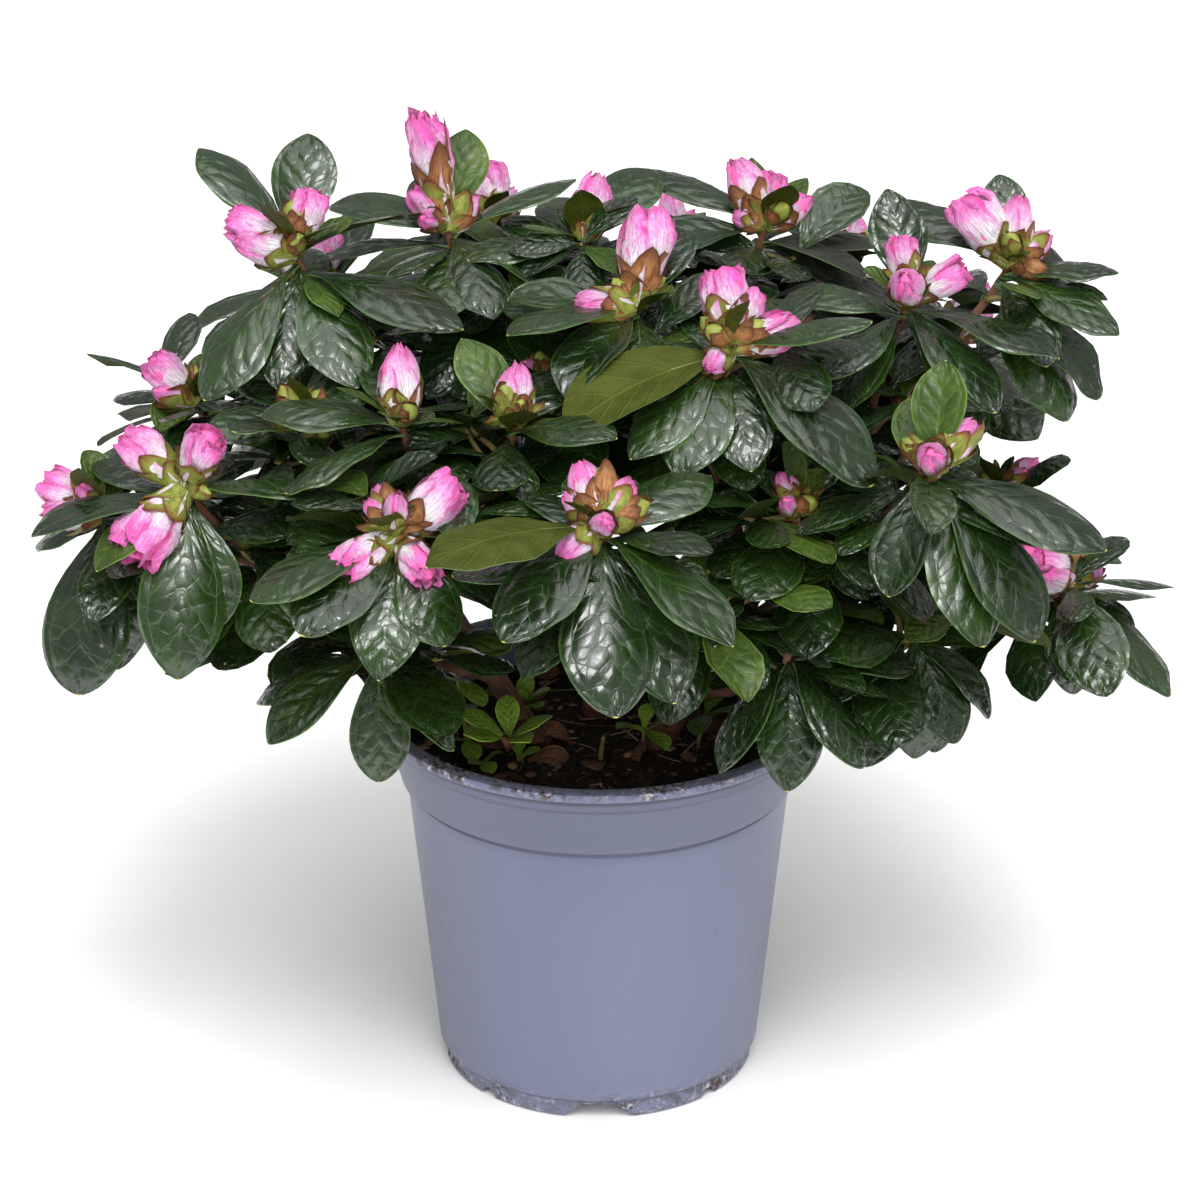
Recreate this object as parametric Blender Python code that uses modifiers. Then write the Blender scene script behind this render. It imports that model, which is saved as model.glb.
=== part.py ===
"""A budding azalea in a 15 cm nursery pot.

Every driving size is in millimetres and is turned into metres by MM. The origin lies
on the ground, on the axis of the pot; +Z is up and -Y is the front.

pot      a turned wall with a folded rim, a shoulder and a notched foot ring
soil     the ball of peat that fills it
stem_*   three woody stems from a flat cut on the peat, with a flare at the foot
bough_*  one tapering limb each, from the side of a stem to the mass that it carries
leaves_* one mass each: twigs that fork from one stem, and on each twig a whorl of
         leaves round a cluster of buds

Bearings run anticlockwise from +X as seen from above, so -90 points at the front.
A rise is an angle above the horizontal. A leaf or bud is (bearing, rise, length).
"""
import math
import random

import bmesh
import bpy
from mathutils import Matrix, Vector
from mathutils.bvhtree import BVHTree

MM = 0.001
GAP = 0.3
WELD_DISTANCE = 0.000004
OBJECT_NAME = "Azalea"

# ---- pot -------------------------------------------------------------------------
POT_HEIGHT = 130.0
POT_STEPS = 32
RIM_RADIUS = 75.0
RIM_WIDTH = 5.6
RIM_FACE = 2.8
COLLAR_RADIUS = 72.2
COLLAR_BOTTOM = 122.4
SHOULDER_TOP_RADIUS = 65.8
SHOULDER_RADIUS = 63.6
SHOULDER_HEIGHT = 104.0
WALL_FOOT_RADIUS = 53.4
WALL_THICKNESS = 1.6
FOOT_HEIGHT = 6.8
FOOT_RADIUS = 52.0
FOOT_RING_WIDTH = 9.0
FOOT_ROUND = 1.4
FLOOR_THICKNESS = 1.6
NOTCH_TOP_WIDTH = 10.8
NOTCH_FOOT_WIDTH = 27.0
NOTCH_HEIGHT = 5.4
ARCH_WIDTH = 6.0
ARCH_HEIGHT = 3.4

# ---- peat ------------------------------------------------------------------------
SOIL_LEVEL = 117.0
SOIL_EDGE_DROP = 3.0
SOIL_FLAT_RADIUS = 40.0
SOIL_STEPS = 24

# ---- wood ------------------------------------------------------------------------
FLARE = 0.85
FLARE_REACH = 7.0
TWIG_SIDES = 3
BOUGH_SIDES = 5
STEM_SIDES = 8
RING_SPACING = 20.0
FORK_RADIUS = 1.6
TWIG_TIP_RADIUS = 1.25
FORK_LEAN = 0.4
TIP_LEAN = 0.004
STEM_PULL = 0.2

# name: foot, heading at the foot, tip, heading at the tip, radius at foot and tip
STEMS = {
    "west": ((-22, -6, SOIL_LEVEL + GAP), (-0.35, -0.25, 1), (-54, -28, 186), (-0.45, -0.05, 1), 3.7, 2.8),
    "east": ((20, -8, SOIL_LEVEL + GAP), (0.4, -0.2, 1), (52, -34, 188), (0.35, -0.2, 1), 3.7, 2.8),
    "back": ((0, 17, SOIL_LEVEL + GAP), (0.0, 0.2, 1), (-4, 40, 192), (-0.1, 0.15, 1), 3.6, 2.7),
}

# ---- leaves and buds -------------------------------------------------------------
LEAF_WIDTH = 0.235
LEAF_THICKNESS = 0.014
THINNEST_LEAF = 0.4
LEAF_STATIONS = (0.0, 0.13, 0.44, 0.78, 1.0)
SMALL_LEAF_STATIONS = (0.0, 0.16, 0.6, 1.0)
BROAD_LEAF = 50.0
LEAF_BOW = 34.0
PETIOLE = 0.08
PETIOLE_HALF_WIDTH = 1.0
BLADE_START = 0.144
LEAF_SPACING = 1.15
TOP_LEAF_DROP = 2.5
WHORL_DROP = 3.0
WHORL_RISE = 10.0
WHORL_DROOP = 34.0
LOWER_DROP = 14.0
LOWER_SPACING = 10.0
LOWER_RISE = -14.0
GOLDEN_ANGLE = 137.5
BAR_CORNER = math.sin(math.radians(120))
LEAF_CLEARANCE = 0.4
BUD_STATIONS = (0.0, 0.36, 0.8, 1.0)
BUD_SIDES = 4
BUD_WIDTH = 0.3
BUD_SINK = 2.0
# ways in which a leaf is turned aside, as (swing, lift, share of its length)
NUDGES = tuple((swing, lift, share)
               for share in (1.0, 0.86, 0.72)
               for swing, lift in ((0, 0), (7, 0), (-7, 0), (0, 8), (0, -8), (14, 5), (-14, 5),
                                   (12, -8), (-12, -8), (22, 0), (-22, 0), (0, 16), (0, -16),
                                   (28, 10), (-28, 10)))


class Shoot:
    """One twig end: its place, its whorl, its buds, and how many leaves the rule adds."""

    def __init__(self, tip, leaves=(), buds=(), whorl=0, lower=3, size=50):
        self.tip = Vector(tip)
        self.leaves = leaves
        self.buds = buds
        self.whorl = whorl
        self.lower = lower
        self.size = size


# mass: stem that its bough leaves, how far up, how far the bough runs to the shoots, its shoots
MASSES = {
    "west_top": ("west", 0.93, 0.4, (
        Shoot((-98, 12, 283), ((138, 34, 52), (85, 52, 44), (-128, -36, 58), (-100, -40, 46), (-64, -38, 52),
                               (-26, -10, 60), (-60, -12, 26)),
              ((172, 28, 25), (62, 58, 22), (195, 18, 21), (95, 72, 18))),
        Shoot((-94, -28, 238), ((46, 34, 42), (125, 20, 46), (-125, 20, 42), (-60, -20, 44)),
              ((200, 50, 14), (-60, 10, 16)), lower=2))),
    "west_tip": ("west", 0.66, 0.42, (
        Shoot((-131, -52, 228), ((-24, 8, 52), (-93, -54, 62), (-72, -60, 46), (-138, -20, 42), (-164, -6, 54),
                                 (140, 5, 46)),
              ((170, 42, 26), (-35, 62, 25), (-128, -30, 30), (-40, 5, 12))),
        Shoot((-159, -36, 212), ((-104, -56, 60), (-82, -62, 50), (95, 12, 38), (150, -25, 36)),
              ((165, 25, 22), (-172, 5, 20)), lower=2))),
    "front_west": ("west", 0.8, 0.4, (
        Shoot((-62, -100, 231), ((-152, -12, 52), (-62, -38, 40), (-128, -18, 50), (-100, -42, 48), (15, 5, 36)),
              ((25, 35, 25), (-140, -15, 25), (-55, -22, 20), (120, 45, 18)), lower=2),
        Shoot((-62, -58, 252), ((170, -5, 46), (120, 5, 44), (-150, -15, 44)),
              ((95, 75, 25),), lower=2),
        Shoot((-27, -56, 250), ((130, 45, 34), (-30, 10, 40), (60, 15, 40), (-95, -5, 36)),
              ((75, 68, 21),), lower=2))),
    "front": ("east", 0.55, 0.4, (
        Shoot((0, -113, 240), ((-148, 2, 62), (-128, -24, 52), (-84, -42, 62), (-42, -22, 58), (-58, -44, 58),
                               (40, 14, 46), (135, 12, 34), (-168, -8, 48), (75, 20, 32)),
              ((120, 55, 22), (80, 62, 20), (150, 35, 16), (30, 48, 18), (8, 25, 18), (-80, 30, 14),
               (-140, -20, 18)), lower=2),
        Shoot((34, -76, 196), (), (), whorl=6, lower=2, size=46))),
    "top_front": ("east", 0.95, 0.4, (
        Shoot((11, -10, 273), ((-150, 2, 48), (60, 30, 38), (-120, -14, 48), (-88, -16, 46), (170, 8, 44)),
              ((70, 62, 32), (-165, 8, 20), (160, 50, 12)), lower=2),
        Shoot((42, -42, 271), ((-16, 18, 48), (-42, -27, 66), (-150, -17, 60), (-134, -26, 50), (-112, -30, 48),
                               (-78, -34, 42), (60, 12, 44), (100, 22, 32)),
              ((105, 62, 26), (60, 52, 20), (5, 18, 22), (-125, -12, 14), (170, 45, 14))))),
    "top_west": ("back", 0.99, 0.4, (
        Shoot((-50, 35, 283), ((75, 52, 36), (152, 4, 46), (32, 14, 50), (110, 12, 44), (-30, -14, 46),
                               (180, -6, 46), (-95, -12, 42)),
              ((150, 76, 41), (170, 55, 18), (40, 35, 16), (20, 60, 14))),
        Shoot((-4, 40, 277), ((-150, -4, 44), (55, 22, 44), (-75, -12, 40), (5, -6, 40), (100, 8, 42)),
              ((60, 64, 23),)))),
    "top_east": ("back", 0.95, 0.4, (
        Shoot((55, 50, 279), ((150, 12, 50), (-165, -4, 46), (100, 62, 26), (40, 48, 26), (-30, -8, 40), (5, -2, 42),
                              (-100, 6, 34), (70, 5, 42)),
              ((140, 58, 24), (80, 62, 18), (10, 30, 18), (-170, 20, 12))),
        Shoot((84, 84, 252), (), ((60, 55, 18),), whorl=6, size=46))),
    "east_top": ("east", 0.86, 0.4, (
        Shoot((100, -2, 273), ((108, 54, 38), (60, 30, 20), (-55, -24, 52), (-22, -8, 54), (-130, -12, 46),
                               (160, 5, 40)),
              ((-100, 40, 20), (110, 62, 20), (5, 28, 20)), lower=2),
        Shoot((135, 28, 274), ((140, 14, 48), (98, 52, 32), (40, 38, 24), (-12, 5, 38), (-40, -12, 48),
                               (-72, -22, 44), (-56, -42, 54), (-40, -36, 52), (15, -18, 44)),
              ((165, 50, 28), (70, 70, 22), (20, 30, 16), (-30, -5, 14)), lower=2))),
    "east_front": ("east", 0.7, 0.38, (
        Shoot((105, -72, 243), ((75, 64, 34), (-118, -46, 44), (-82, -50, 60), (-46, -40, 64), (-22, -14, 62),
                                (100, 38, 30), (-5, -10, 36)),
              ((-100, 38, 17), (25, 42, 20), (170, 40, 14)), lower=2),
        Shoot((62, -58, 222), (), ((-120, 40, 12),), whorl=6, lower=2, size=50))),
    "east_tip": ("east", 0.5, 0.42, (
        Shoot((153, -15, 178), ((-68, -42, 40), (-40, -30, 52), (-85, -30, 42), (35, -28, 36), (65, 5, 36),
                                (90, 40, 20), (-60, -58, 34)),
              ((-130, 38, 32), (-20, 40, 16)), lower=2),
        Shoot((134, 34, 190), (), ((30, 30, 18),), whorl=6, size=46))),
    "east_low": ("east", 0.3, 0.42, (
        Shoot((103, -46, 176), ((-92, -70, 42), (-150, -28, 36), (-62, -58, 40), (-30, -48, 38), (-125, -66, 44)),
              (), lower=2),
        Shoot((60, -70, 178), ((-92, -60, 44), (-38, -40, 44), (-140, -45, 44), (10, -25, 42)), (), lower=1))),
    "west_low": ("west", 0.42, 0.42, (
        Shoot((-70, -72, 180), ((-88, -64, 42), (-150, -30, 46), (-35, -40, 40), (170, -25, 46)), (), lower=2),
        Shoot((-106, -18, 180), (), (), whorl=6, lower=2, size=44))),
    "inner_top": ("back", 0.9, 0.4, (
        Shoot((-18, -12, 244), (), ((100, 60, 14),), whorl=7, lower=2, size=48),)),
    "inner_east": ("east", 0.62, 0.4, (
        Shoot((62, 22, 246), (), ((90, 60, 12),), whorl=7, lower=2, size=46),)),
    "inner_back": ("back", 0.92, 0.4, (
        Shoot((8, 64, 236), (), ((90, 60, 12),), whorl=6, lower=2, size=46),
        Shoot((-58, 66, 228), (), (), whorl=6, lower=1, size=44))),
    "back_west_top": ("back", 0.66, 0.4, (
        Shoot((-96, 74, 248), (), ((150, 55, 22), (100, 40, 18), (60, 66, 20)), whorl=8),
        Shoot((-134, 34, 222), (), ((170, 45, 22), (-160, 25, 16)), whorl=7))),
    "back_top": ("back", 0.69, 0.4, (
        Shoot((-36, 92, 262), (), ((110, 60, 24), (60, 40, 18)), whorl=8),
        Shoot((24, 98, 254), (), ((80, 60, 20), (140, 45, 18), (30, 40, 16)), whorl=8))),
    "back_east_top": ("back", 0.58, 0.4, (
        Shoot((70, 106, 222), (), ((80, 50, 22), (40, 35, 18)), whorl=7),
        Shoot((120, 76, 228), (), ((45, 50, 24), (20, 30, 18)), whorl=8))),
    "back_west_low": ("back", 0.36, 0.42, (
        Shoot((-92, 94, 190), (), ((140, 40, 20),), whorl=7),
        Shoot((-140, 16, 178), (), ((170, 20, 18),), whorl=6, lower=2, size=46))),
    "back_low": ("back", 0.5, 0.42, (
        Shoot((-38, 115, 204), (), ((110, 45, 20), (70, 30, 16)), whorl=7),
        Shoot((30, 117, 196), (), ((85, 45, 20),), whorl=7))),
    "back_east_low": ("back", 0.28, 0.42, (
        Shoot((98, 84, 180), (), ((50, 40, 20),), whorl=7),)),
    "basal": ("west", 0.1, 0.5, (
        Shoot((-30, -44, 136), ((160, 25, 18), (-150, 20, 17), (-60, 30, 16), (20, 25, 17), (95, 50, 16)), (),
              lower=0),)),
}
BOUGH_ROOT_RADIUS = 2.4
BOUGH_TIP_RADIUS = 1.8
BOUGH_SAG = 0.06
BOUGH_OFFSET = 0.9

COLOURS = {
    "pot": ((0.235, 0.262, 0.392), 0.42),
    "soil": ((0.022, 0.015, 0.011), 0.95),
    "bark": ((0.150, 0.062, 0.034), 0.80),
    "leaf": ((0.020, 0.062, 0.018), 0.38),
}


# ---- scene -----------------------------------------------------------------------
def clear_scene():
    for old in list(bpy.data.objects):
        bpy.data.objects.remove(old, do_unlink=True)


def collection(name):
    made = bpy.data.collections.new(name)
    bpy.context.scene.collection.children.link(made)
    return made


def material(name, colour, roughness):
    made = bpy.data.materials.new(name)
    made.use_nodes = True
    shader = made.node_tree.nodes["Principled BSDF"]
    shader.inputs["Base Color"].default_value = (*colour, 1.0)
    shader.inputs["Roughness"].default_value = roughness
    made.diffuse_color = (*colour, 1.0)
    return made


def add_object(name, mesh, home, finish=None):
    made = bpy.data.objects.new(name, mesh)
    home.objects.link(made)
    if finish:
        mesh.materials.append(finish)
    return made


def mesh_from(bm, name):
    mesh = bpy.data.meshes.new(name)
    bm.to_mesh(mesh)
    bm.free()
    return mesh


def cutter(name, mesh, home):
    made = add_object(name, mesh, home)
    made.hide_render = True
    made.display_type = "WIRE"
    return made


def boolean(target, operation, tool, solver="EXACT"):
    modifier = target.modifiers.new(operation.lower(), "BOOLEAN")
    modifier.operation = operation
    modifier.solver = solver
    if isinstance(tool, bpy.types.Collection):
        modifier.operand_type = "COLLECTION"
        modifier.collection = tool
    else:
        modifier.object = tool
    return modifier


# ---- pot and peat ----------------------------------------------------------------
def turned(name, profile, steps, home, finish):
    """A solid turned from an open profile that starts and ends on the Z axis."""
    bm = bmesh.new()
    ring = [bm.verts.new((r * MM, 0, z * MM)) for r, z in profile]
    for lower, upper in zip(ring, ring[1:]):
        bm.edges.new((lower, upper))
    made = add_object(name, mesh_from(bm, name), home, finish)
    screw = made.modifiers.new("turn", "SCREW")
    screw.steps = steps
    screw.render_steps = steps
    screw.use_merge_vertices = True
    screw.merge_threshold = 0.00005
    return made


def pot_profile():
    """From the middle of the floor, up the inside, over the rim and down the outside."""
    inner_foot = WALL_FOOT_RADIUS - WALL_THICKNESS
    floor_top = FOOT_HEIGHT + FLOOR_THICKNESS
    ring_inside = FOOT_RADIUS - FOOT_RING_WIDTH
    half = RIM_FACE / 2
    return [
        (0, floor_top),
        (inner_foot, floor_top),
        (SHOULDER_RADIUS - WALL_THICKNESS, SHOULDER_HEIGHT - 2),
        (SHOULDER_TOP_RADIUS - WALL_THICKNESS, SHOULDER_HEIGHT + 1),
        (RIM_RADIUS - RIM_WIDTH, COLLAR_BOTTOM),
        (RIM_RADIUS - RIM_WIDTH, POT_HEIGHT - 0.7),
        (RIM_RADIUS - RIM_WIDTH + 0.7, POT_HEIGHT),
        (RIM_RADIUS - 0.9, POT_HEIGHT),
        (RIM_RADIUS, POT_HEIGHT - 0.9),
        (RIM_RADIUS, POT_HEIGHT - RIM_FACE),
        (COLLAR_RADIUS, POT_HEIGHT - RIM_FACE - half / 3),
        (COLLAR_RADIUS - 0.3, COLLAR_BOTTOM),
        (COLLAR_RADIUS - 0.8, COLLAR_BOTTOM - 0.6),
        (SHOULDER_TOP_RADIUS, SHOULDER_HEIGHT + 0.8),
        (SHOULDER_RADIUS, SHOULDER_HEIGHT - 1.2),
        (WALL_FOOT_RADIUS, FOOT_HEIGHT),
        (FOOT_RADIUS, FOOT_HEIGHT - 0.4),
        (FOOT_RADIUS, FOOT_ROUND),
        (FOOT_RADIUS - FOOT_ROUND, 0),
        (ring_inside, 0),
        (ring_inside, FOOT_HEIGHT),
        (0, FOOT_HEIGHT),
    ]


def radial_slot(bm, top_width, foot_width, height, bearing):
    """A wedge that cuts a slot of slanted sides across the foot ring."""
    made = bmesh.ops.create_cube(bm, size=1.0)["verts"]
    depth = FOOT_RING_WIDTH + 8
    for vert in made:
        width = top_width if vert.co.z > 0 else foot_width + 4
        vert.co.x = (FOOT_RADIUS - FOOT_RING_WIDTH / 2 + vert.co.x * depth) * MM
        vert.co.y *= width * MM
        vert.co.z = (height if vert.co.z > 0 else -2.0) * MM
    turn = Matrix.Rotation(math.radians(bearing), 3, "Z")
    bmesh.ops.rotate(bm, verts=made, cent=(0, 0, 0), matrix=turn)


def make_pot(parts, cutters, finish):
    pot = turned("pot", pot_profile(), POT_STEPS, parts, finish)
    bm = bmesh.new()
    for quarter in range(4):
        radial_slot(bm, NOTCH_TOP_WIDTH, NOTCH_FOOT_WIDTH, NOTCH_HEIGHT, 90 * quarter)
        radial_slot(bm, ARCH_WIDTH * 0.5, ARCH_WIDTH, ARCH_HEIGHT, 90 * quarter + 45)
    slots = cutter("foot_slots", mesh_from(bm, "foot_slots"), cutters)
    boolean(pot, "DIFFERENCE", slots)
    return pot


def soil_profile():
    """The peat keeps a gap to the wall and dips towards it."""
    floor = FOOT_HEIGHT + FLOOR_THICKNESS + GAP
    foot = WALL_FOOT_RADIUS - WALL_THICKNESS - GAP
    shoulder = SHOULDER_RADIUS - WALL_THICKNESS - GAP
    neck = SHOULDER_TOP_RADIUS - WALL_THICKNESS - GAP
    edge_level = SOIL_LEVEL - SOIL_EDGE_DROP
    share = (edge_level - SHOULDER_HEIGHT - 1) / (COLLAR_BOTTOM - SHOULDER_HEIGHT - 1)
    edge = neck + share * (RIM_RADIUS - RIM_WIDTH - GAP - neck)
    return [
        (0, SOIL_LEVEL),
        (SOIL_FLAT_RADIUS, SOIL_LEVEL),
        (0.5 * (SOIL_FLAT_RADIUS + edge), SOIL_LEVEL - 0.25 * SOIL_EDGE_DROP),
        (edge - 0.4, edge_level),
        (neck - 0.2, SHOULDER_HEIGHT + 1),
        (shoulder - 0.2, SHOULDER_HEIGHT - 2),
        (foot - 0.2, floor),
        (0, floor),
    ]


# ---- limbs -----------------------------------------------------------------------
class Limb:
    """A tapering limb along a smooth curve between two points with given headings."""

    def __init__(self, start, heading, end, arrival, root_radius, tip_radius, flare=0.0):
        self.start = Vector(start)
        self.end = Vector(end)
        self.span = (self.end - self.start).length
        self.heading = Vector(heading).normalized() * self.span
        self.arrival = Vector(arrival).normalized() * self.span
        self.root_radius = root_radius
        self.tip_radius = tip_radius
        self.flare = flare

    def at(self, s):
        return ((2 * s**3 - 3 * s**2 + 1) * self.start + (s**3 - 2 * s**2 + s) * self.heading
                + (3 * s**2 - 2 * s**3) * self.end + (s**3 - s**2) * self.arrival)

    def along(self, s):
        way = ((6 * s**2 - 6 * s) * self.start + (3 * s**2 - 4 * s + 1) * self.heading
               + (6 * s - 6 * s**2) * self.end + (3 * s**2 - 2 * s) * self.arrival)
        return way.normalized()

    def radius(self, s):
        taper = self.root_radius + (self.tip_radius - self.root_radius) * s
        return taper * (1 + self.flare * math.exp(-s * self.span / FLARE_REACH))

    def core(self, s):
        """The point at s on the straight runs between the rings."""
        rings = self.stations()
        index = max(k for k, ring in enumerate(rings[:-1]) if ring <= s)
        share = (s - rings[index]) / (rings[index + 1] - rings[index])
        return self.at(rings[index]).lerp(self.at(rings[index + 1]), share)

    def stations(self):
        count = max(2, round(self.span / RING_SPACING))
        rings = [index / count for index in range(count + 1)]
        if self.flare:
            rings[1:1] = [0.25 * FLARE_REACH / self.span, FLARE_REACH / self.span]
        return tuple(rings)


UNIT_BARS = {}


def unit_bar(sides, stations):
    """A closed upright bar of radius 1 and height 1, with a ring at each station."""
    key = (sides, stations)
    if key not in UNIT_BARS:
        bm = bmesh.new()
        bmesh.ops.create_cone(bm, cap_ends=True, segments=sides, radius1=1, radius2=1, depth=1,
                              matrix=Matrix.Translation((0, 0, 0.5)))
        for height in stations[1:-1]:
            geometry = bm.verts[:] + bm.edges[:] + bm.faces[:]
            bmesh.ops.bisect_plane(bm, geom=geometry, plane_co=(0, 0, height), plane_no=(0, 0, 1))
        UNIT_BARS[key] = mesh_from(bm, "unit_bar")
    return UNIT_BARS[key]


def bent_bar(sides, stations, place):
    """A copy of the unit bar whose points go where `place` says, welded at a shut end."""
    bm = bmesh.new()
    bm.from_mesh(unit_bar(sides, stations))
    for vert in bm.verts:
        vert.co = place(vert.co.z, vert.co.x, vert.co.y) * MM
    bmesh.ops.remove_doubles(bm, verts=bm.verts[:], dist=0.000001)
    bmesh.ops.triangulate(bm, faces=bm.faces[:])
    bmesh.ops.recalc_face_normals(bm, faces=bm.faces[:])
    return bm


def limb_place(limb, extra=0.0):
    def place(s, a, b):
        turn = limb.along(s).to_track_quat("Z", "X")
        reach = limb.radius(s) + extra
        return limb.at(s) + turn @ Vector((a * reach, b * reach, 0))
    return place


class Stem(Limb):
    """A stem whose rings lie level at its foot and turn square to it higher up."""

    def along(self, s):
        level = max(0.0, 1 - s * self.span / (2 * FLARE_REACH))
        return super().along(s).lerp(Vector((0, 0, 1)), level).normalized()


def stem_limb(name):
    return Stem(*STEMS[name], FLARE)


def bough_limb(name):
    """The bough bows under the line from its stem to the middle of its shoots."""
    stem_name, height, share, shoots = MASSES[name]
    stem = stem_limb(stem_name)
    middle = sum((shoot.tip for shoot in shoots), Vector()) / len(shoots)
    side = (middle - stem.at(height)).cross(stem.along(height)).cross(stem.along(height))
    start = stem.at(height) - BOUGH_OFFSET * side.normalized()
    reach = middle - start
    entry = start + share * reach - Vector((0, 0, BOUGH_SAG * reach.length))
    heading = reach.normalized() - Vector((0, 0, 2 * BOUGH_SAG)) + STEM_PULL * stem.along(height)
    arrival = (middle - entry).normalized()
    return Limb(start, heading, entry, arrival, BOUGH_ROOT_RADIUS, BOUGH_TIP_RADIUS)


# ---- leaves ----------------------------------------------------------------------
class Leaf:
    """A leaf whose midrib is a bow in the upright plane of its bearing."""

    def __init__(self, root, bearing, rise, length, roll=0.0, bow=LEAF_BOW):
        self.root = root
        self.bearing = math.radians(bearing)
        self.rise = math.radians(rise)
        self.length = length
        self.roll = math.radians(roll)
        self.bow = math.radians(bow)
        self.out = Vector((math.cos(self.bearing), math.sin(self.bearing), 0))

    def slope(self, s):
        return self.rise + self.bow * (0.5 - s)

    def midrib(self, s):
        first = self.slope(0)
        here = self.slope(s)
        level = (math.sin(first) - math.sin(here)) / self.bow
        height = (math.cos(here) - math.cos(first)) / self.bow
        return self.root + self.length * (self.out * level + Vector((0, 0, height)))

    def half_width(self, s):
        share = max(0.0, (s - PETIOLE) / (1 - PETIOLE))
        blade = LEAF_WIDTH * self.length * max(0.0, math.sin(math.pi * share**1.2)) ** 0.75
        return max(blade, PETIOLE_HALF_WIDTH)

    def across(self, s):
        """The directions across the blade and up from its face."""
        slope = self.slope(s)
        side = Vector((-math.sin(self.bearing), math.cos(self.bearing), 0))
        face = Vector((0, 0, math.cos(slope))) - self.out * math.sin(slope)
        cos_roll, sin_roll = math.cos(self.roll), math.sin(self.roll)
        return side * cos_roll + face * sin_roll, face * cos_roll - side * sin_roll

    def place(self, grown=0.0):
        """Where a three-sided bar goes: two margins above and a keel below."""
        thickness = max(LEAF_THICKNESS * self.length, THINNEST_LEAF)

        def put(s, a, b):
            side, face = self.across(s)
            at_end = s < 0.001 or s > 0.999
            width = 0.0 if at_end else self.half_width(s)
            keel = 0.0 if at_end else thickness
            height = -keel - grown if b > 0.5 else grown
            return self.midrib(s) + side * (a / BAR_CORNER) * (width + grown) + face * height
        return put

    def stations(self):
        return LEAF_STATIONS if self.length >= BROAD_LEAF else SMALL_LEAF_STATIONS

    def body(self, grown=0.0):
        return bent_bar(3, self.stations(), self.place(grown))


class Bud:
    """A pointed bud that swells past its middle."""

    def __init__(self, root, bearing, rise, length):
        self.root = root
        bearing, rise = math.radians(bearing), math.radians(rise)
        self.way = Vector((math.cos(bearing) * math.cos(rise), math.sin(bearing) * math.cos(rise), math.sin(rise)))
        self.length = length

    def radius(self, s):
        return BUD_WIDTH * self.length * math.sin(math.pi * s**1.15) ** 0.8 if s < 0.999 else 0.0

    def body(self, grown=0.0):
        turn = self.way.to_track_quat("Z", "X")

        def put(s, a, b):
            reach = self.radius(s) + grown
            return self.root + self.way * (s * self.length) + turn @ Vector((a * reach, b * reach, 0))
        return bent_bar(BUD_SIDES, BUD_STATIONS, put)


# ---- room for each leaf ----------------------------------------------------------
class Room:
    """What is already placed, so that nothing new touches it."""

    def __init__(self):
        self.taken = []

    def add(self, owner, whole, outer):
        centre, reach = ball(whole)
        self.taken.append((owner, centre, reach, BVHTree.FromBMesh(whole), outer))

    def is_free(self, owner, grown, outer):
        centre, reach = ball(grown)
        tree = BVHTree.FromBMesh(grown)
        for other, at, size, whole, blade in self.taken:
            if (at - centre).length > reach + size:
                continue
            if other != owner and tree.overlap(whole):
                return False
            if other == owner and outer and blade and outer.overlap(blade):
                return False
        return True


def ball(bm):
    centre = sum((vert.co for vert in bm.verts), Vector()) / len(bm.verts)
    return centre, max((vert.co - centre).length for vert in bm.verts)


def blade_tree(leaf, bm):
    """The part of a leaf beyond its root, for the test against its own mass."""
    kept = [face for face in bm.faces
            if min((vert.co / MM - leaf.root).length for vert in face.verts) > BLADE_START * leaf.length]
    points = [vert.co.copy() for vert in bm.verts]
    bm.verts.index_update()
    return BVHTree.FromPolygons(points, [[vert.index for vert in face.verts] for face in kept]) if kept else None


def settle_leaf(room, owner, root, bearing, rise, length, roll):
    """The leaf turned aside until it is free, or None."""
    for swing, lift, share in NUDGES:
        leaf = Leaf(root, bearing + swing, rise + lift, length * share, roll)
        grown = leaf.body(LEAF_CLEARANCE)
        body = leaf.body()
        blade = blade_tree(leaf, body)
        if room.is_free(owner, grown, blade):
            room.add(owner, body, blade)
            grown.free()
            return body
        grown.free()
        body.free()
    return None


# ---- masses ----------------------------------------------------------------------
def twigs_of(name, bough, rng):
    """The mass's own stem, which runs to the first shoot, and a twig to each other."""
    shoots = MASSES[name][3]
    way = bough.along(1.0)
    start = bough.end + way * GAP
    twigs = []
    for index, shoot in enumerate(shoots):
        lean = Vector((shoot.tip.x, shoot.tip.y, 0)) * TIP_LEAN + Vector((0, 0, 1))
        if index == 0:
            twigs.append(Limb(start, way, shoot.tip, lean, BOUGH_TIP_RADIUS, TWIG_TIP_RADIUS))
            continue
        share = rng.uniform(0.12, 0.3)
        fork = twigs[0].core(share)
        heading = (shoot.tip - fork).normalized() + FORK_LEAN * twigs[0].along(share)
        twigs.append(Limb(fork, heading, shoot.tip, lean, FORK_RADIUS, TWIG_TIP_RADIUS))
    return twigs


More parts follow.
